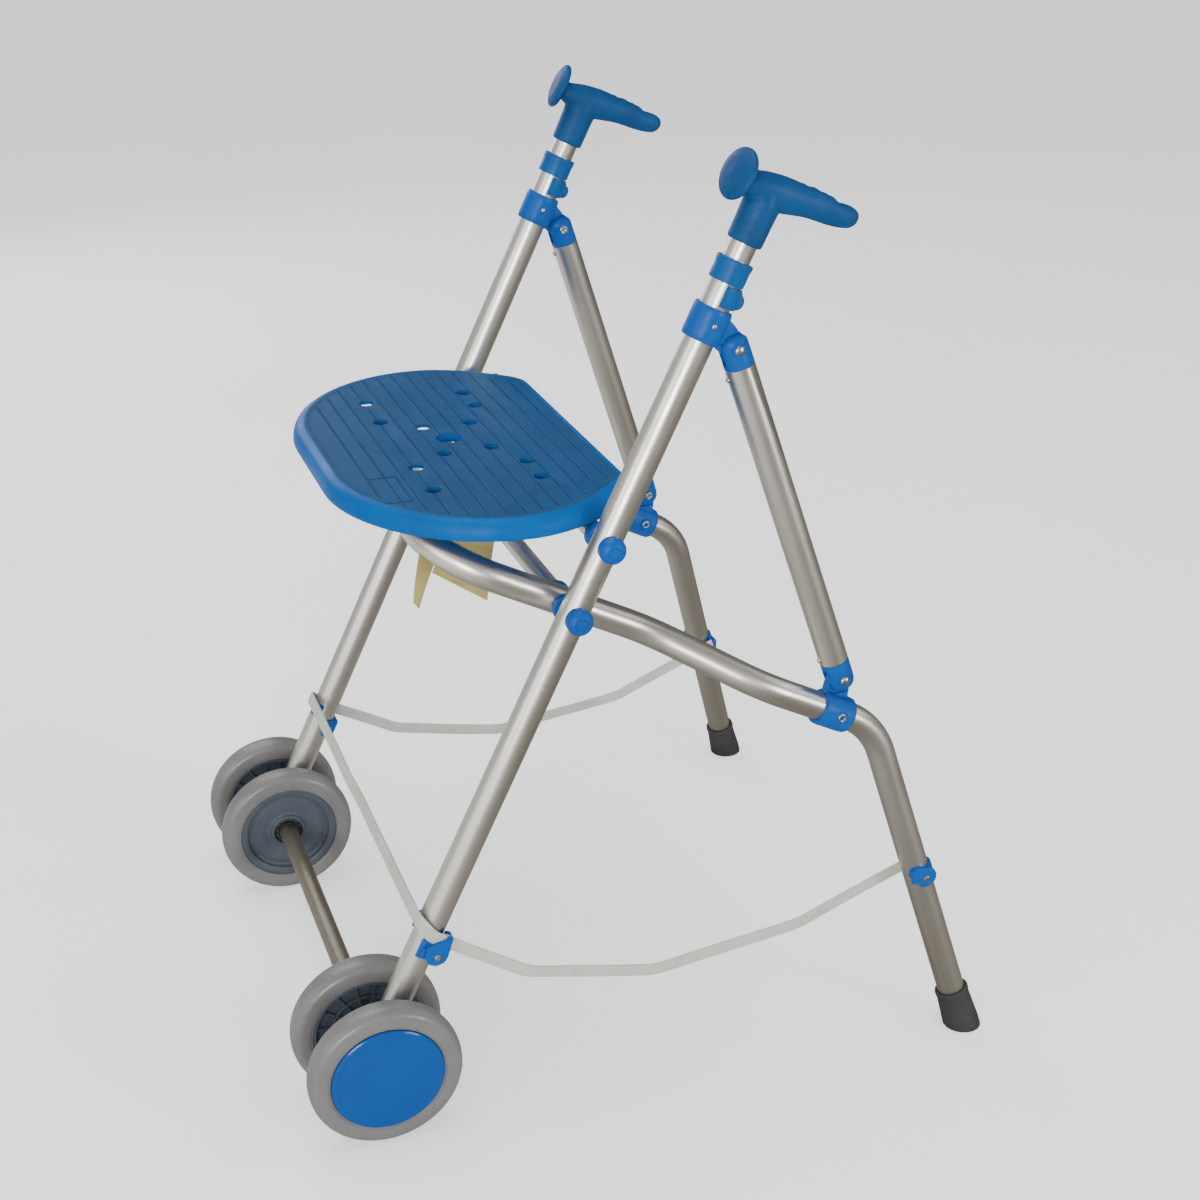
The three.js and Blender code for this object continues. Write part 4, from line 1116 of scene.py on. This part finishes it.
def half_width_at(y, inset):
    points = seat_outline(inset, 40)
    best = 0.0
    for a, b in zip(points, points[1:] + points[:1]):
        if (a.y - y) * (b.y - y) <= 0 and abs(a.y - b.y) > 1e-9:
            best = max(best, abs(a.x + (b.x - a.x) * (y - a.y) / (b.y - a.y)))
    return best


def inside(p, outline):
    count = 0
    for a, b in zip(outline, outline[1:] + outline[:1]):
        if (a.y > p.y) != (b.y > p.y) and p.x < (b.x - a.x) * (p.y - a.y) / (b.y - a.y) + a.x:
            count += 1
    return count % 2 == 1


def groove(y, half):
    """A shallow vee across the deck that runs out at both ends."""
    stations = [(-half - 3, 0.35), (-half, 1.0), (half, 1.0), (half + 3, 0.35)]
    section = ((-1.9, 0.4), (-0.9, -0.42), (0.9, -0.42), (1.9, 0.4))
    return skin([[Vector((x, y + across * s, DECK + (height if height > 0 else height * s)))
                  for across, height in section] for x, s in stations])


def under_seat(holes):
    """Ribs, the two shelves on the loop, the lugs round the upper cross tube and the holes' collars."""
    top = DECK_BOTTOM + 1
    parts = [block((x - 1.5, x + 1.5), (-217, 4), (DECK_BOTTOM - 8, top), 0.5, 2)
             for x in (-160, -105, 0, 105, 160)]
    parts += [block((-188, 188), (y - 1.5, y + 1.5), (DECK_BOTTOM - 7, top), 0.5, 2)
              for y in (-150, -101, -12)]
    parts += [block((x - 14, x + 14), (-206, -170), (arm_z(-188) + 14.4, top), 1.0) for x in (-75, 75)]
    for x in (-120, 120):
        parts.append(across(drum(14, x - 13, x + 13, 1.2), shift((0, SEAT_BAR.y, SEAT_BAR.z))))
        parts.append(block((x - 12.6, x + 12.6), (SEAT_BAR.y - 13.6, SEAT_BAR.y + 13.6),
                           (SEAT_BAR.z, top), 1.0))
    parts += [put(drum(r + 2.2, DECK_BOTTOM - 5.5, top, 0.6, 48), shift((x, y, 0)))
              for x, y, r in holes if (x, y) not in PLAIN_HOLES]
    return parts


def drill(x, y, r):
    """A hole's cutter, whose upper edge is eased."""
    ease = [(r + HOLE_EASE * (1 - math.cos(a)), DECK - HOLE_EASE + HOLE_EASE * math.sin(a))
            for a in np.linspace(0, math.pi / 2, 7)]
    profile = [(0, DECK - 20), (r, DECK - 20)] + ease + [(r + HOLE_EASE, DECK + 3), (0, DECK + 3)]
    return put(lathe(profile, 48), shift((x, y, 0)))


def seat():
    holes = [(s * x, y, r) for x, y, r in SEAT_HOLES for s in ((1, -1) if x else (1,))]
    shell = skin([[Vector((p.x, p.y, SEAT_TOP - depth)) for p in seat_outline(inset)]
                  for inset, depth in SEAT_PROFILE])
    body = join(shell, *under_seat(holes))
    bearing = across(drum(CROSS_HOLE, -230, 230, 0), shift((0, SEAT_BAR.y, SEAT_BAR.z)))
    body = cut(body, bearing, gathered([drill(*hole) for hole in holes]))
    lines = [GROOVE_START - GROOVE_PITCH * k for k in range(GROOVES)]
    body = cut(body, gathered([groove(y, half_width_at(y, 20)) for y in lines]))
    panel = (((84, 150), (-195, -193.2)), ((84, 85.8), (-219, -195.1)), ((148.2, 150), (-219, -195.1)))
    body = cut(body, gathered([block(x, y, (DECK - 0.5, DECK + 1)) for x, y in panel]))
    piece(body, "seat_board", "seat", ("rim", "deck", "groove"), "seat", 32)
    edge = [Vector((p.x * MM, p.y * MM)) for p in seat_outline(11.2)]
    # Faces inside the rim take the deck material. Those sunk a little below it, in the grooves and panel
    # lines, take the darker groove material as painted shade.
    for polygon in body.data.polygons:
        at = polygon.center
        if at.z > (DECK - 2.2) * MM and inside(at, edge):
            polygon.material_index = 2 if (DECK - 0.6) * MM < at.z < (DECK - 0.05) * MM else 1


# ---- side straps and the card tag ----
SIDE_STRAP_LINES = {  # distance to the rear, height, bend radius; the right strap is the tauter of the two
    "left": ((-208, 193.8, 0), (-127.2, 140, 45), (5, 111.8, 70), (159, 133.5, 60), (295, 187.6, 0)),
    "right": ((-208, 193.8, 0), (-127.2, 147, 45), (5, 118.8, 70), (159, 136.5, 60), (288, 185.2, 0)),
}


def side_straps():
    """Each starts inside the front clip, sags in straight runs and ends on the rear clip's tab."""
    for word, mirror in (("left", 1), ("right", -1)):
        points, sides = [], []
        for p in bent([(0, *corner) for corner in SIDE_STRAP_LINES[word]], 3.0, 8.0):
            sag = 0.5 * math.sin(p.y * 0.035)
            tuck = 2.4 * max(0.0, 1 - (p.y + 208) / 18)
            x = 252 + 0.024 * (p.y + 206) - tuck + sag * 0.4
            points.append(Vector((x, p.y, p.z + sag)))
            sides.append(Vector((1, -0.024, 0.05 * math.sin(p.y * 0.02))))
        part = put(band(points, sides, *STRAP), Matrix.Scale(mirror, 4, (1, 0, 0)))
        finish_mesh(part, "side_webbing_" + word, "strap")
        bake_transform(part)
        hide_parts("side_strap_" + word)


TAG_LEAVES = {  # a blank folded card inside the left arm: corners and bow
    "tag_leaf_front": (
        ((170, -192.6, 570), (150, -174, 542), (158, -195.3, 496.3), (168, -201.7, 507.7)), 1.2),
    "tag_leaf_back": (
        ((170, -165, 574), (150, -116, 562), (158, -129.4, 494), (172, -184, 536)), 2.5),
}


def tag():
    for name, (corners, bow) in TAG_LEAVES.items():
        piece(leaf(corners, bow), name, REAR, "tag")


def leaf(corners, bow):
    """A card leaf between four corners, softly bowed."""
    a, b, c, d = (Vector(corner) for corner in corners)
    normal = (b - a).cross(d - a).normalized()
    columns, lines, half_thick = 12, 16, 0.3
    front, back = [], []
    for j in range(lines + 1):
        for i in range(columns + 1):
            s, t = i / columns, j / lines
            lift = bow * math.sin(math.pi * t * 0.9) * (0.6 + 0.4 * s) + 0.9 * math.sin(3 * s + 2 * t)
            p = a.lerp(b, s).lerp(d.lerp(c, s), t) + normal * lift
            front.append(p + normal * half_thick)
            back.append(p - normal * half_thick)
    n = len(front)
    wide = columns + 1
    faces = []
    for j in range(lines):
        for i in range(columns):
            k = j * wide + i
            faces.append((k, k + 1, k + wide + 1, k + wide))
            faces.append((n + k, n + k + wide, n + k + wide + 1, n + k + 1))
    border = list(range(wide)) + [j * wide + columns for j in range(1, lines + 1)]
    border += [lines * wide + i for i in reversed(range(columns))]
    border += [j * wide for j in reversed(range(1, lines))]
    faces += [(i, j, n + j, n + i) for i, j in zip(border, border[1:] + border[:1])]
    return shape(front + back, faces)


# ---- stage ----
LAMPS = (  # name, place, disc size, power
    ("key", (1.5, -3.4, 1.5), 2.0, 32),
    ("flash", (3.0, -1.75, 1.1), 1.2, 62),
    ("arm", (2.7, 1.9, 1.0), 1.2, 38),
    ("side", (0.9, 3.2, 2.2), 1.8, 14),
    ("top", (-0.4, -0.4, 3.6), 2.6, 62),
    ("back", (-3.2, -0.6, 1.6), 1.8, 30),
)
LAMP_TARGET = Vector((0, 0, 0.42))
CAMERA_PLACE = (1.6762, -0.5729, 1.2236)
CAMERA_TURN, CAMERA_PITCH = math.radians(20.09), math.radians(24.79)
LENS = 56.02


def forwardness(n, vector, share_of_x):
    """How far a vector leans to the front and a share of the way to -X or +X."""
    parts = n.add("ShaderNodeSeparateXYZ")
    n.feed(parts.inputs[0], vector)
    return n.maths("SUBTRACT", n.maths("MULTIPLY", parts.outputs["X"], share_of_x), parts.outputs["Y"])


def studio_floor():
    """Pale to the camera, and dark to bright from rear to front in the tubes' reflections."""
    bpy.ops.mesh.primitive_plane_add(size=40, location=(0, 0, -0.0005))
    floor = bpy.context.object
    floor.name = "floor"
    n = Nodes("studio_floor")
    rays = n.add("ShaderNodeLightPath").outputs
    tone = n.mix(n.ramp(n.noise(1.2, 2), 0.3, 0.7), (0.84, 0.84, 0.835, 1), (0.80, 0.80, 0.795, 1))
    front = forwardness(n, n.add("ShaderNodeNewGeometry").outputs["Position"], -0.25)
    reflected = n.mix(n.ramp(front, -0.3, 1.0), (0.165, 0.150, 0.122, 1), (0.78, 0.77, 0.74, 1))
    floor.data.materials.append(n.set(
        Base_Color=n.mix(rays["Is Glossy Ray"], tone, reflected), Roughness=0.8, Specular_IOR_Level=0.1,
        Emission_Color=(1, 1, 1, 1), Emission_Strength=n.maths("MULTIPLY", rays["Is Camera Ray"], 0.70)))


def studio_world():
    world = bpy.data.worlds.new("studio")
    bpy.context.scene.world = world
    n = Nodes("studio", world)
    rays = n.add("ShaderNodeLightPath").outputs
    front = forwardness(n, n.coordinates.outputs["Generated"], 0.5)
    reflected = n.mix(n.ramp(front, -0.5, 0.7), (0.16, 0.153, 0.138, 1), (0.76, 0.76, 0.75, 1))
    around = n.mix(rays["Is Glossy Ray"], (0.66, 0.67, 0.68, 1), reflected)
    seen = n.mix(rays["Is Camera Ray"], around, (0.98, 0.98, 0.97, 1))
    n.fill(n.tree.nodes["Background"], Color=seen, Strength=0.8)


def stage():
    studio_floor()
    studio_world()
    for name, place, size, power in LAMPS:
        light = bpy.data.lights.new(name, "AREA")
        light.shape = "DISK"
        light.size = size
        light.energy = power
        lamp = add_object(name, light)
        lamp.location = place
        lamp.rotation_euler = (LAMP_TARGET - Vector(place)).to_track_quat("-Z", "Y").to_euler()

    lens = bpy.data.cameras.new("camera")
    lens.sensor_width = 36
    lens.lens = LENS
    camera = add_object("camera", lens)
    level = math.cos(CAMERA_PITCH)
    gaze = Vector((-math.cos(CAMERA_TURN) * level, math.sin(CAMERA_TURN) * level, -math.sin(CAMERA_PITCH)))
    camera.location = CAMERA_PLACE
    camera.rotation_euler = gaze.to_track_quat("-Z", "Y").to_euler()
    bpy.context.scene.camera = camera


for build in (
    front_leg, upper_collar, guide_bushing, cross_tube_fittings, cross_tubes, front_strap_bracket,
    front_strap, handle, lock_clip, wheels, seat_loop, rubber_tips, saddles, rear_strap_brackets, links,
    seat, side_straps, tag, stage,
):
    build()
